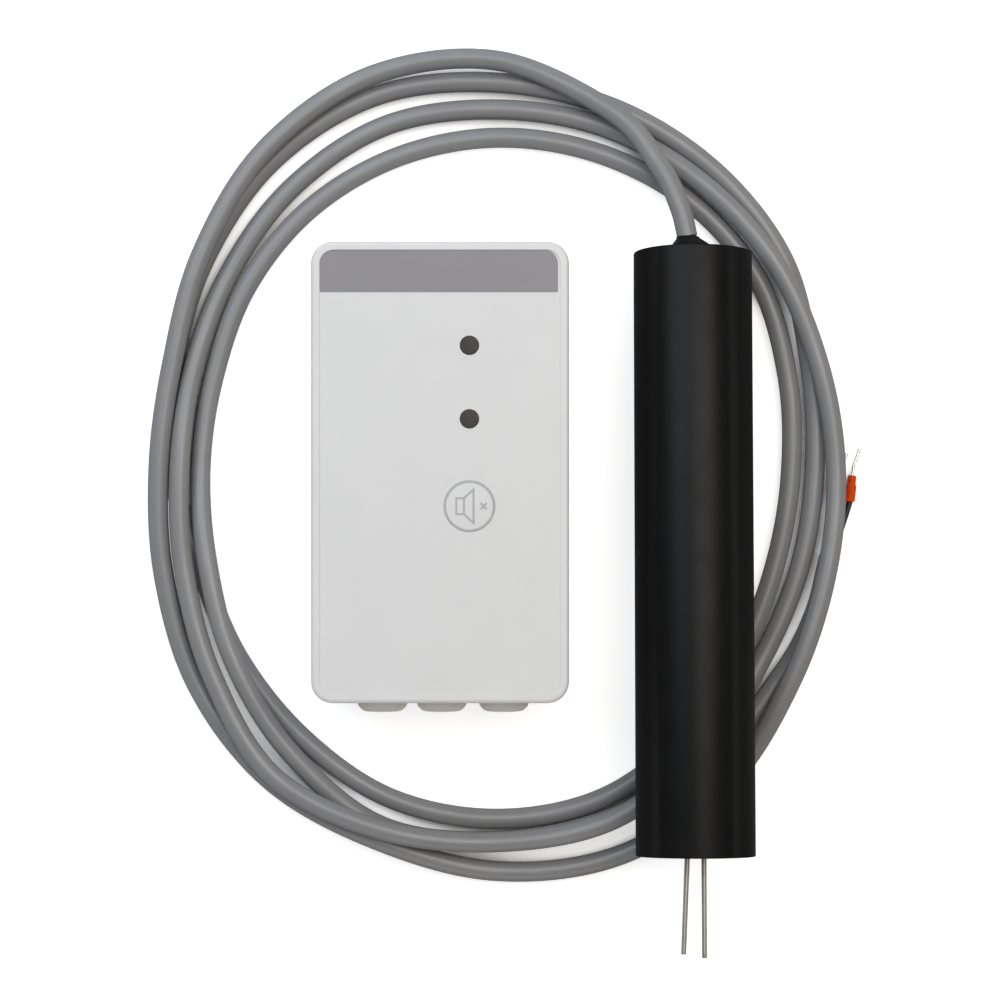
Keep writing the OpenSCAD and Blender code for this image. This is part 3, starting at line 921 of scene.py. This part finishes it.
@dataclass
class Studio:
    """The pale floor, the lamps and the surrounding light.

    Attributes:
        floor_half: Half the floor's width in metres.
        floor_drop: How far the floor lies below the object, in metres.
        floor_tone: How much light the floor throws back.
        floor_lift: What brings the floor up to white where it is seen.
        gap_reach: How far round a place of the floor is looked for what covers it, in metres.
        gap_span: Where less than the first share of this round is open, the floor isn't
        brought up to white, which paints shade into narrow gaps. Where more than the
        second is, it is in full.
        pass_below: What lies lower than this above the floor is lit from below through it.
        fill: The strength of the light from all round.
        lamps: The lamps.
    """

    floor_half: float = 4.0
    floor_drop: float = 0.0002
    floor_tone: float = 0.8
    floor_lift: float = 0.64
    gap_reach: float = 0.012
    gap_span: tuple[float, float] = (0.16, 0.4)
    pass_below: float = 0.001
    fill: float = 0.21
    lamps: tuple[Lamp, ...] = (
        Lamp("cool_softbox", (-0.44, 0.48, 0.84), (0.78, 0.8), 5.4, (0.8, 0.885, 1.0)),
        Lamp("window", (-0.15, 1.0, 0.5), (0.9, 0.35), 1.5, (0.8, 0.9, 1.0)),
        Lamp("warm_softbox", (0.36, 0.25, 1.05), (0.72, 0.8), 6.4, (1.0, 0.935, 0.83)),
        Lamp(
            "near_side", (-0.05, -0.9, 0.4), (0.9, 0.35), 1.2, (1.0, 0.96, 0.91),
            aim=(0.0, 0.0, 0.0),
        ),
    )

    def build(self) -> None:
        """Makes the floor, the lamps and the world."""
        self.floor()
        self.world()
        for lamp in self.lamps:
            lamp.build()

    def floor(self) -> None:
        """Makes the floor: white where it is seen, with painted shade in narrow gaps, open from
        below.

        What the camera sees of it, straight, in a mirror or through glass, glows up to
        white, except in narrow gaps, where the glow falls away as painted shade. Light
        that leaves a low underside passes through it.
        """
        material = bpy.data.materials.new("Pale floor")
        graph = Graph.fresh(material)
        path = graph.add("ShaderNodeLightPath").outputs
        tone = opaque((self.floor_tone,) * 3)
        diffuse = graph.add("ShaderNodeBsdfDiffuse", {"Color": tone}).outputs[0]
        # Painted shade: the glow is cut where ambient occlusion finds little of the round open, so
        # narrow gaps show dark.
        cover = graph.add("ShaderNodeAmbientOcclusion", {"Distance": self.gap_reach})
        glow_with_painted_gap_shade = graph.spread(
            cover.outputs["AO"], self.gap_span, 0.0, self.floor_lift, "SMOOTHSTEP"
        )
        mirrored = graph.math("MAXIMUM", path["Is Camera Ray"], path["Is Glossy Ray"])
        seen = graph.math("MAXIMUM", mirrored, path["Is Transmission Ray"])
        lift = graph.math("MULTIPLY", seen, glow_with_painted_gap_shade)
        glow = graph.add("ShaderNodeEmission", {"Strength": lift}).outputs[0]
        lit = graph.add("ShaderNodeAddShader", {0: diffuse, 1: glow}).outputs[0]
        near = graph.math("LESS_THAN", path["Ray Length"], self.pass_below)
        from_underside = graph.math("MULTIPLY", near, path["Is Diffuse Ray"])
        below = graph.add("ShaderNodeNewGeometry").outputs["Backfacing"]
        opened = graph.math("MAXIMUM", below, from_underside)
        clear = graph.add("ShaderNodeBsdfTransparent").outputs[0]
        both = graph.add("ShaderNodeMixShader", {0: opened, 1: lit, 2: clear})
        graph.add("ShaderNodeOutputMaterial", {"Surface": both.outputs[0]})
        half, drop = self.floor_half, -self.floor_drop
        signs = ((-1, -1), (1, -1), (1, 1), (-1, 1))
        corners = [(half * x, half * y, drop) for x, y in signs]
        mesh = bpy.data.meshes.new("floor")
        mesh.from_pydata(corners, [], [(0, 1, 2, 3)])
        mesh.materials.append(material)
        in_scene("floor", mesh)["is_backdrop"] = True

    def world(self) -> None:
        """Makes the even light from all round."""
        world = bpy.data.worlds.new("Studio")
        graph = Graph.fresh(world)
        even = {"Color": opaque((1, 1, 1)), "Strength": self.fill}
        light = graph.add("ShaderNodeBackground", even)
        graph.add("ShaderNodeOutputWorld", {"Surface": light.outputs[0]})
        bpy.context.scene.world = world


@dataclass(frozen=True)
class BaredCore:
    """A bared core at the cable's end, with its ferrule.

    Attributes:
        tint: The core's colour.
        finish: Its finish.
        slot: The record's slot of that finish.
        start: Where it leaves the jacket.
        mouth: Where its collar starts.
        aim: What the collar points at.
        tip: What the pin's end points at.
        radius: Radius of the core.
        reach: How far it reaches into the jacket and into its collar.
        collar_len: Length of the collar.
        collar_radius: Radius of its wide end.
        bed: How deep the core and the pin lie in it.
        pin_radius: Radius of the pin.
        pin_len: Length of the pin.
        crimp: How deep the bands are that are squeezed into the pin.
        crimp_step: How far one band lies from the next.
    """

    tint: str
    finish: Palette
    slot: Slot
    start: Triple
    mouth: Triple
    aim: Triple
    tip: Triple
    radius: float = 0.85
    reach: tuple[float, float] = (2.0, 1.0)
    collar_len: float = 7.5
    collar_radius: float = 1.5
    bed: tuple[float, float] = (1.1, 1.0)
    pin_radius: float = 0.5
    pin_len: float = 8.0
    crimp: float = 0.012
    crimp_step: float = 1.3

    def build(self, ahead: Array) -> list[bpy.types.Object]:
        """Makes the core and its ferrule.

        Args:
            ahead: The direction in which the jacket ends.

        Returns:
            The core, the collar and the pin.
        """
        mouth = np.array(self.mouth)
        into = unit(self.aim - mouth)
        return [self.core(ahead, mouth, into), self.collar(mouth, into), self.pin(mouth, into)]

    def core(self, ahead: Array, mouth: Array, into: Array) -> bpy.types.Object:
        """Makes the core: it leaves the jacket straight and bends into its collar.

        Args:
            ahead: The direction in which the jacket ends.
            mouth: Where the collar starts.
            into: The collar's direction.

        Returns:
            The piece.
        """
        start, (inside, beyond) = np.array(self.start), self.reach
        bends = [start + 1.5 * ahead, mouth - 0.8 * into]
        line = through(np.stack([start - inside * ahead, *bends, mouth + beyond * into]), 14)
        return Draft().tube(swept(line, np.full(len(line), self.radius), 24)).set_down(
            f"core_{self.tint}_skin", self.finish, Body.HOUSING, self.slot, [f"core_{self.tint}"]
        )

    def collar(self, mouth: Array, into: Array) -> bpy.types.Object:
        """Makes the collar: a funnel for the core that narrows towards the pin.

        Args:
            mouth: Where it starts.
            into: Its direction.

        Returns:
            The piece.
        """
        bore, wide, end = self.radius + 0.02, self.collar_radius, self.collar_len
        core_bed, pin_bed = self.bed[0], end - self.bed[1]
        middle = 0.02
        outline = softened(
            [
                (bore, core_bed, 0),
                (bore, 0.45, 0),
                (wide - 0.28, 0.0, 0.08),
                (wide, 0.12, 0.1),
                (wide, end - 3.1, 0.5),
                (wide - 0.3, end - 2.4, 0.5),
                (wide - 0.34, end, 0.12),
                (self.pin_radius, end, 0.0),
                (self.pin_radius, pin_bed, 0.0),
                (middle, pin_bed, 0.0),
                (middle, core_bed, 0.0),
            ]
        )
        side = unit(np.cross(into, np.array([0.0, 0.0, 1.0])))
        frame = np.stack([side, np.cross(into, side), into])
        node = f"ferrule_collar_{self.tint}"
        return Draft().grid(turned(outline, 48) @ frame + mouth).set_down(
            f"{node}_moulded", Palette.COLLAR, Body.HOUSING, Slot.COLLAR, [node]
        )

    def pin(self, mouth: Array, into: Array) -> bpy.types.Object:
        """Makes the pin: a thin tube squeezed in bands and slightly bent.

        At the run s the tube is thicker by the crimp times sin(2 pi s / step). The bands
        begin 2 mm from its start and are full from 3 mm on.

        Args:
            mouth: Where the collar starts.
            into: The collar's direction.

        Returns:
            The piece.
        """
        start = mouth + (self.collar_len - 0.9 * self.bed[1]) * into
        bend = mouth + (self.collar_len + self.pin_len / 3) * into
        tip = bend + self.pin_len * 2 / 3 * unit(self.tip - bend)
        stops = [start, start + 0.5 * (bend - start), bend, (bend + tip) / 2, tip]
        places, radii = blunt_ended(through(np.stack(stops), 16), self.pin_radius, 0.15)
        run = run_length(places)
        bands = np.sin(run * 2 * math.pi / self.crimp_step) * np.clip(run - 2.0, 0, 1)
        node = f"ferrule_pin_{self.tint}"
        return Draft().tube(swept(places, radii + self.crimp * bands, 24)).set_down(
            f"{node}_tube", Palette.PIN, Body.HOUSING, Slot.PIN, [node]
        )


@dataclass
class ProbeCable:
    """The probe's cable, laid in a loose coil.

    Attributes:
        radius: Radius of the jacket.
        coil_mid: The middle of the coil.
        coil_start: Where the coil's first point lies, in degrees.
        coil_step: How far on the next one lies, in degrees.
        coil: For each point, its distance from the middle and its height.
        lead: The points between the boot and the coil.
        tail: The points between the coil and the jacket's end.
        off_table: How far the jacket stays above the table.
        cores: The bared cores on its end.
    """

    radius: float = 2.9
    coil_mid: tuple[float, float] = (15.6, 1.6)
    coil_start: float = 72.0
    coil_step: float = 18.0
    coil: tuple[tuple[float, float], ...] = (
        (106.3, 10.5), (116, 7.8), (117.4, 6.8), (112.1, 8.3), (103.8, 8.9),
        (97.1, 8.9), (96.3, 8.6), (99.9, 6.5), (106.1, 3), (110.5, 3.6),
        (111.4, 8.1), (115.5, 3.1), (116.4, 3), (111.6, 4.8), (103.5, 8.8),
        (98.6, 9.1), (96.6, 7.7), (96.3, 8.8), (98.2, 9), (100.1, 6.4),
        (102.3, 3), (102.7, 3), (103.1, 3), (99.5, 3), (94.8, 3),
        (91.2, 5.8), (90.3, 8.8), (93.6, 9), (100.2, 9.1), (108.2, 10.1),
        (107.7, 12.9), (106.5, 9.6), (105.5, 9.3), (99.7, 7.8), (93.6, 3.2),
        (91.3, 3), (91.1, 3), (94.4, 3), (101.5, 3), (105.5, 3),
        (108.4, 3), (110.4, 3), (112.1, 3), (109, 3), (103, 3),
        (97.2, 3), (93, 3), (89.5, 3), (91.8, 3), (95.2, 3),
        (99.4, 3), (100.5, 3), (99.3, 3), (93.9, 3), (87.5, 3),
        (84.3, 3), (84.3, 3), (87.4, 3), (92.3, 3), (94.2, 3),
        (94.7, 3), (94.6, 3), (93.5, 3), (91.5, 3), (88.5, 3),
        (85.2, 3), (84.8, 3.8), (86.7, 8.5), (92.8, 9.1), (100.3, 7.2),
        (107.8, 3), (106.9, 3), (105.5, 3), (103.9, 3), (100.9, 3),
    )
    lead: tuple[Triple, ...] = ((67.1, 75.6, 15.5), (61.7, 87, 13.5))
    tail: tuple[Triple, ...] = ((106.4, -40.7, 3), (110.9, -23.6, 3))
    off_table: float = 0.05
    cores: tuple[BaredCore, ...] = (
        BaredCore(
            "black", Palette.CORE_BLACK, Slot.CORE_BLACK,
            (111.85, -23.75, 3), (116.8, -8, 1.6), (117.6, -1.1, 1.6), (119.8, 7.1, 1.6),
        ),
        BaredCore(
            "white", Palette.CORE_WHITE, Slot.CORE_WHITE,
            (110.1, -23.3, 3), (113.5, -9.2, 1.6), (113.8, -1.9, 1.6), (116, 5.5, 1.6),
        ),
    )

    def route(self, exit_point: Array) -> Array:
        """Works out the centreline.

        A coil point lies at its distance from the middle, in the direction that turns
        by the same angle from one point to the next. No point is lower than the jacket's
        radius above the table.

        Args:
            exit_point: Where the cable leaves its boot.

        Returns:
            The centreline's points.
        """
        table = np.array(self.coil)
        angle = np.radians(self.coil_start + self.coil_step * np.arange(len(table)))
        turns = np.stack(
            [
                self.coil_mid[0] + table[:, 0] * np.cos(angle),
                self.coil_mid[1] + table[:, 0] * np.sin(angle),
                table[:, 1],
            ],
            axis=1,
        )
        points = np.concatenate([exit_point[None], self.lead, turns, self.tail])
        line = through(points, 22)
        line[:, 2] = np.maximum(line[:, 2], self.radius + self.off_table)
        return line

    def build(self, axis: ProbeAxis) -> None:
        """Makes the jacket as a curve, and what is on its end.

        Args:
            axis: Where the probe lies.
        """
        exit_point = axis.boot_tip()
        line = self.route(exit_point)
        curve = bpy.data.curves.new("cable_jacket", "CURVE")
        curve.dimensions = "3D"
        curve.bevel_depth = self.radius * MM
        curve.bevel_resolution = 6
        curve.use_fill_caps = True
        spline = curve.splines.new("POLY")
        spline.points.add(len(line) - 1)
        spline.points.foreach_set("co", np.c_[line * MM, np.ones(len(line))].ravel())
        spline.use_smooth = True
        curve.materials.append(Palette.JACKET.value.material())
        jacket = in_scene("cable_jacket", curve)
        set_down(jacket, Body.HOUSING, Slot.JACKET, ["probe_cable"])
        ahead = unit(line[-1] - line[-4])
        on_end = [piece for core in self.cores for piece in core.build(ahead)]


@dataclass
class ProbeAxis:
    """Where the probe lies: places along and across it are turned into the frame's.

    Attributes:
        start: The middle of the barrel's cable end.
        ahead: The direction from there to the electrodes.
        radius: The barrel's radius.
        length: The barrel's length.
        edge: The radius of the barrel's outer edges.
        boot_len: How far the boot stands out of the barrel.
        boot_lean: How far the cable pulls the boot's tip to the left.
    """

    start: Array
    ahead: Array
    radius: float
    length: float
    edge: float = 0.4
    boot_len: float = 4.6
    boot_lean: float = 1.4

    @classmethod
    def from_record(cls, record: dict[str, Any]) -> ProbeAxis:
        """Reads the barrel's place from the record's mount on it.

        Args:
            record: The part's record.

        Returns:
            The axis.
        """
        mount = next(m for m in record["mounts"] if m["name"] == "probe_body")
        ahead = unit(np.array(mount["axis"], float))
        radius = mount["dims"]["r_mm"]
        length = mount["dims"]["length_mm"] + 2 * cls.edge
        start = np.array(mount["pos_m"]) / MM - ahead * length / 2
        return cls(start, ahead, radius, length)

    def place(self, points: Array) -> Array:
        """Turns places across (x, y) and along (z) the probe into the frame's.

        A place is the start, plus x to the right, plus y times the probe's own up, plus
        z ahead.

        Args:
            points: The places, in the last axis.

        Returns:
            The same places in the frame.
        """
        right = np.array([1.0, 0.0, 0.0])
        up = np.cross(self.ahead, right)
        return self.start + points @ np.stack([right, up, self.ahead])

    def boot_tip(self) -> Array:
        """Gives where the cable leaves the boot."""
        return self.place(np.array([-self.boot_lean, 0.0, -self.boot_len]))


@dataclass
class Probe:
    """The probe: its barrel, the boot round its cable, and the two rods.

    Attributes:
        axis: Where the probe lies.
        wall: The barrel's wall thickness.
        step: How far the plugs lie inside the barrel's ends.
        cable_radius: Radius of the cable's jacket.
        boot_radius: Radius of the boot's foot.
        inlet_in: How far the cable reaches into the barrel.
        rod_radius: Radius of a rod.
        rod_gap: Distance between the rods at the barrel.
        rods_out: Length of the left and of the right rod outside the barrel.
        rod_in: Length of a rod inside it.
        rod_lean: Angle by which the left rod leans outwards, in degrees.
        clear: Gap between the cable and the boot.
    """

    axis: ProbeAxis
    wall: float = 2.5
    step: float = 0.5
    cable_radius: float = 2.9
    boot_radius: float = 5.5
    inlet_in: float = 20.0
    rod_radius: float = 0.75
    rod_gap: float = 4.6
    rods_out: tuple[float, float] = (27.5, 28.5)
    rod_in: float = 34.0
    rod_lean: float = 2.5
    clear: float = 0.02

    def build(self) -> None:
        """Makes all its pieces."""
        self.barrel()
        self.boot()
        self.inlet()
        self.rod("electrode_left", -1, self.rod_lean, self.rods_out[0])
        self.rod("electrode_right", 1, 0.0, self.rods_out[1])

    def barrel(self) -> None:
        """Makes the barrel: a drawn tube with rounded edges at both sawn ends."""
        outer, inner, end = self.axis.radius, self.axis.radius - self.wall, self.axis.length
        outline = softened(
            [
                (inner, 0.0, 0.25),
                (outer, 0.0, self.axis.edge),
                (outer, end, self.axis.edge),
                (inner, end, 0.25),
            ],
            steps=8,
        )
        Draft().grid(self.axis.place(turned(outline, 160))).set_down(
            "barrel_tube", Palette.BARREL, Body.HOUSING, Slot.BARREL, ["probe_barrel"]
        )

    def leaning(self, outline: Array, steps: int) -> Array:
        """Turns an outline and bends it aside as the cable pulls it.

        Beyond the barrel's face, a place at the share s of the boot's length is moved
        sideways by the lean times s squared (3 - s) / 2.

        Args:
            outline: Rows of a radius and a place along the probe.
            steps: How many places round the axis.

        Returns:
            A grid of points with one row for each of the outline's.
        """
        points = turned(outline, steps)
        share = np.clip(-points[..., 2] / self.axis.boot_len, 0, 1)
        points[..., 0] -= self.axis.boot_lean * share**2 * (3 - share) / 2
        return self.axis.place(points)

    def boot(self) -> None:
        """Makes the rubber boot: a foot, a cone and a thin lip round the cable."""
        cable, foot, tip = self.cable_radius, self.boot_radius, self.axis.boot_len
        bore = cable + self.clear
        outline = softened(
            [
                (bore, self.step, 0.0),
                (foot, self.step, 0.0),
                (foot, -2.2, 0.4),
                (foot - 0.6, -2.8, 0.4),
                (cable + 0.5, -tip + 0.5, 0.3),
                (cable + 0.3, -tip, 0.12),
                (bore, -tip, 0.1),
            ],
            steps=8,
        )
        Draft().grid(self.leaning(outline, 96)).set_down(
            "cable_boot_rubber", Palette.BOOT, Body.HOUSING, Slot.BOOT, ["cable_boot"], sharp=60.0
        )

    def inlet(self) -> None:
        """Makes the cable's stretch inside the boot and the barrel."""
        along = np.linspace(-self.axis.boot_len, self.inlet_in, 60)
        outline = np.stack([np.full(len(along), self.cable_radius), along], axis=1)
        Draft().tube(self.leaning(outline, 48)).set_down(
            "jacket_inside", Palette.JACKET, Body.HOUSING, Slot.JACKET, ["jacket_inlet"]
        )

    def rod(self, node: str, side: int, lean: float, out: float) -> None:
        """Makes a rod: straight in the barrel, leaning from its face on.

        Args:
            node: The solid that it stands for.
            side: -1 for the left rod, 1 for the right one.
            lean: The angle by which it leans outwards, in degrees.
            out: Its length outside the barrel.
        """
        face = self.axis.length - self.step
        along = np.concatenate(
            [
                np.linspace(-self.rod_in, -1.0, 12),
                np.linspace(-0.6, 0.6, 7),
                np.linspace(1.0, out, 24),
            ]
        )
        aside = side * math.tan(math.radians(lean)) * np.maximum(along, 0)
        local = np.stack([side * self.rod_gap / 2 + aside, 0 * along, face + along], axis=1)
        places, radii = blunt_ended(self.axis.place(local), self.rod_radius, 0.2)
        Draft().tube(swept(places, radii, 32)).set_down(
            f"{node}_rod", Palette.ELECTRODE, Body.HOUSING, Slot.ELECTRODE, [node]
        )


@dataclass
class FrontPanel:
    """What the front of the unit carries: header field, lamp windows, mute key and print.

    Attributes:
        header_moved: How far the header field's left, right, lower and upper edges lie
            from those of its solid, in millimetres.
        header_corner: Radius of its upper corners.
        window_radius: Radius of a lamp window's lens.
        window_dome: How high the lens rises above its rim.
        key_radius: Radius of the key.
        key_flange: How far the key's flange stands out.
        key_wall: Thickness of the cap and of its flange.
        key_under: How far below the top the flange lies.
        ring_radius: Middle radius of the printed ring on the key.
        ring_width: Width of the ring's line.
        line: Width of the pictogram's lines.
        cross: Half the size of the cross in the pictogram.
        cross_right: How far the cross lies right of the key's middle.
        ink: How thick the print is.
    """

    header_moved: tuple[float, float, float, float] = (0.2, -0.8, -0.6, -0.1)
    header_corner: float = 3.7
    window_radius: float = 2.67
    window_dome: float = 0.108
    key_radius: float = 7.0
    key_flange: float = 1.4
    key_wall: float = 1.2
    key_under: float = 2.62
    ring_radius: float = 6.62
    ring_width: float = 0.48
    line: float = 0.56
    cross: float = 0.85
    cross_right: float = 3.9
    ink: float = 0.03

    def build(self) -> None:
        """Makes all its pieces."""
        self.header()
        for node in ("alarm_window", "normal_window"):
            self.window(node)
        low, high = box_mm("mute_key")
        middle = (low + high) / 2
        self.key(middle, low[2], high[2])
        self.prints(middle, high[2])

    def header(self) -> None:
        """Prints the header field: a thin plate whose upper corners are round."""
        low, high = box_mm("header_band")
        left, right, lower, upper = self.header_moved
        x0, x1, y0, y1 = low[0] + left, high[0] + right, low[1] + lower, high[1] + upper
        rounding = self.header_corner
        outline = softened([(x0, y0, 0), (x1, y0, 0), (x1, y1, rounding), (x0, y1, rounding)], 12)
        flat = np.ones((len(outline), 1))
        levels = (low[2], high[2] + self.ink)
        Draft().tube(np.stack([np.c_[outline, level * flat] for level in levels])).set_down(
            "header_field", Palette.HEADER, Body.HOUSING, Slot.HEADER, ["header_band"]
        )

    def window(self, node: str) -> None:
        """Makes a lamp window: a low dome over a round rim, flat inside.

        At the share s of the way out, the dome is the full height times 1 - s squared.

        Args:
            node: The solid that it stands for.
        """
        low, high = box_mm(node)
        radius, top, foot = self.window_radius, high[2], low[2]
        share = np.linspace(0, 1, 9)
        dome = top + self.window_dome * (1 - share**2)
        lens = np.stack([0.9 * radius * share, dome], axis=1)
        edge = [(0.96 * radius, top - 0.03), (radius, top - 0.12)]
        rim = np.array([*edge, (radius, foot), (0.0, foot)])
        middle = (low + high) / 2 * np.array([1, 1, 0])
        Draft().cap(turned(np.concatenate([lens, rim]), 64) + middle).set_down(
            f"{node}_lens", Palette.LENS, Body.HOUSING, Slot.LAMP_WINDOW, [node], sharp=50.0
        )

    def key(self, middle: Array, foot: float, top: float) -> None:
        """Makes the mute key: a cap with a fine edge, a flange below and a stem.

        Args:
            middle: The key's middle.
            foot: The height of the stem's end.
            top: The height of the cap.
        """
        radius, flange = self.key_radius, self.key_radius + self.key_flange
        inner, under = radius - self.key_wall, top - self.key_under
        below, ceiling = under - self.key_wall, top - self.key_wall
        outline = softened(
            [
                (0.0, top, 0),
                (radius, top, 0.15),
                (radius, under, 0),
                (flange, under, 0.1),
                (flange, below, 0.1),
                (inner, below, 0),
                (inner, ceiling, 0.4),
                (2.4, ceiling, 0.5),
                (1.6, foot, 0.1),
                (0.0, foot, 0),
            ],
            steps=5,
        )
        Draft().cap(turned(outline, 120) + middle * np.array([1, 1, 0])).set_down(
            "mute_key_cap", Palette.FOIL, Body.KEY, Slot.KEY, ["mute_key"]
        )

    def band(self, line: Array, width: float, top: float, closed: bool) -> Array:
        """Gives a printed line its width and thickness.

        Each point is moved to both sides by half the width, along the mean of its two
        neighbours' normals over one plus their dot product, so that corners are mitred.

        Args:
            line: The line's points on the front.
            width: The line's width.
            top: The height of the surface under it.
            closed: Whether its end joins its start.

        Returns:
            A grid of four points for each of the line's.
        """
        after = np.roll(line, -1, axis=0) - line
        if not closed:
            after[-1] = after[-2]
        before = np.roll(after, 1, axis=0)
        if not closed:
            before[0] = after[0]
        quarter = np.array([[0.0, -1.0], [1.0, 0.0]])
        normal_a, normal_b = unit(after) @ quarter, unit(before) @ quarter
        mitre = (normal_a + normal_b) / (1 + (normal_a * normal_b).sum(axis=1, keepdims=True))
        left, right = line + mitre * width / 2, line - mitre * width / 2
        flat = np.ones((len(line), 1))
        low, high = (top - self.ink) * flat, (top + self.ink) * flat
        return np.stack(
            [np.c_[left, low], np.c_[left, high], np.c_[right, high], np.c_[right, low]], axis=1
        )

    def prints(self, middle: Array, top: float) -> None:
        """Prints the ring and the muted loudspeaker on the key.

        Args:
            middle: The key's middle.
            top: The height of its cap.
        """
        angle = np.linspace(0, 2 * math.pi, 160, endpoint=False)
        ring = middle[:2] + self.ring_radius * np.stack([np.cos(angle), np.sin(angle)], axis=1)
        Draft().grid(self.band(ring, self.ring_width, top, True)).set_down(
            "ring_print", Palette.INK, Body.KEY, Slot.KEY
        )
        box = np.array([(-3.6, -2.2), (-1.5, -2.2), (-1.5, 2.2), (-3.6, 2.2)])
        horn = np.array([(-1.5, -2.2), (1.12, -4.6), (1.12, 4.6), (-1.5, 2.2)])
        size, right = self.cross, np.array([self.cross_right, 0.0])
        falling, rising = (
            right + np.array([(-size, -size * sign), (0.0, 0.0), (size, size * sign)])
            for sign in (-1, 1)
        )
        draft = Draft()
        strokes = ((box, True), (horn, True), (falling, False), (rising, False))
        for layer, (line, closed) in enumerate(strokes):
            add = draft.grid if closed else draft.tube
            add(self.band(line + middle[:2], self.line, top + layer * self.ink / 8, closed))
        draft.set_down("mute_pictogram", Palette.INK, Body.KEY, Slot.KEY)


@dataclass
class Grommets:
    """The three soft cable entries in the unit's lower side.

    Attributes:
        radius: Radius of the collar outside.
        neck: How much thinner the neck in the wall is.
        out: Length outside the housing.
        bevel: Width of the bevel round the collar.
        rounding: Radius of the bevel's two edges.
        wall: The housing's wall thickness.
    """

    radius: float = 7.0
    neck: float = 0.9
    out: float = 3.7
    bevel: float = 1.6
    rounding: float = 1.8
    wall: float = 2.2

    def build(self) -> None:
        """Makes one piece for each grommet."""
        for node in ("grommet_left", "grommet_middle", "grommet_right"):
            self.grommet(node)

    def grommet(self, node: str) -> None:
        """Makes a grommet: a collar, a neck, an inner flange and a thin stepped skin.

        Args:
            node: The solid that it stands for.
        """
        low, high = box_mm(node)
        inner = -(self.wall + 1.5)
        neck, flange = self.radius - self.neck, self.radius + 0.3
        outline = softened(
            [
                (0.0, 0.2, 0),
                (3.4, 0.2, 0.1),
                (3.4, inner, 0.2),
                (flange, inner, 0.3),
                (flange, -self.wall, 0.1),
                (neck, -self.wall, 0),
                (neck, 0.0, 0),
                (self.radius, 0.0, 0.15),
                (self.radius, self.out - self.bevel, self.rounding),
                (self.radius - self.bevel, self.out, self.rounding),
                (3.6, self.out, 0.35),
                (2.8, 1.2, 0.2),
                (0.0, 1.2, 0),
            ]
        )
        across, along, up = np.moveaxis(turned(outline, 96)[..., [0, 2, 1]], -1, 0)
        middle, wall_y = (low + high) / 2, high[1] + inner
        grid = np.stack([middle[0] + across, wall_y - along, middle[2] + up], axis=-1)
        Draft().cap(grid).set_down(
            f"{node}_rubber", Palette.GROMMET, Body.HOUSING, Slot.GROMMETS, [node]
        )


def dress_nodes(nodes: dict[str, bpy.types.Object]) -> None:
    """Gives the solids that stay in view their finishes.

    Args:
        nodes: The frame's solids by name.
    """
    for palette, names in NODE_FINISHES.items():
        for name in names:
            nodes[name].material_slots[0].material = palette.value.material()
            LOG.info("solid %s is finished as %s", name, palette.value.name)


def corners(pair: tuple[Any, Any]) -> list[list[float]]:
    """Turns a pair of corners into plain lists."""
    return [list(map(float, corner)) for corner in pair]


def main() -> None:
    """Builds the set in order, and reports each piece."""
    logging.basicConfig(level=logging.INFO, format="%(name)s: %(message)s")
    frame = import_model()
    cad_box = corners(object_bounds())
    PhotoCamera().build()
    axis = ProbeAxis.from_record(frame["record"])
    ProbeCable().build(axis)
    Studio().build()
    dress_nodes(frame["nodes"])
    FrontPanel().build()
    Grommets().build()
    Probe(axis).build()
    bpy.context.scene.view_settings.view_transform = "Standard"
    bpy.context.view_layer.update()
    {"cad": cad_box, "visual": corners(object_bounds())}


if __name__ == "__main__":
    main()
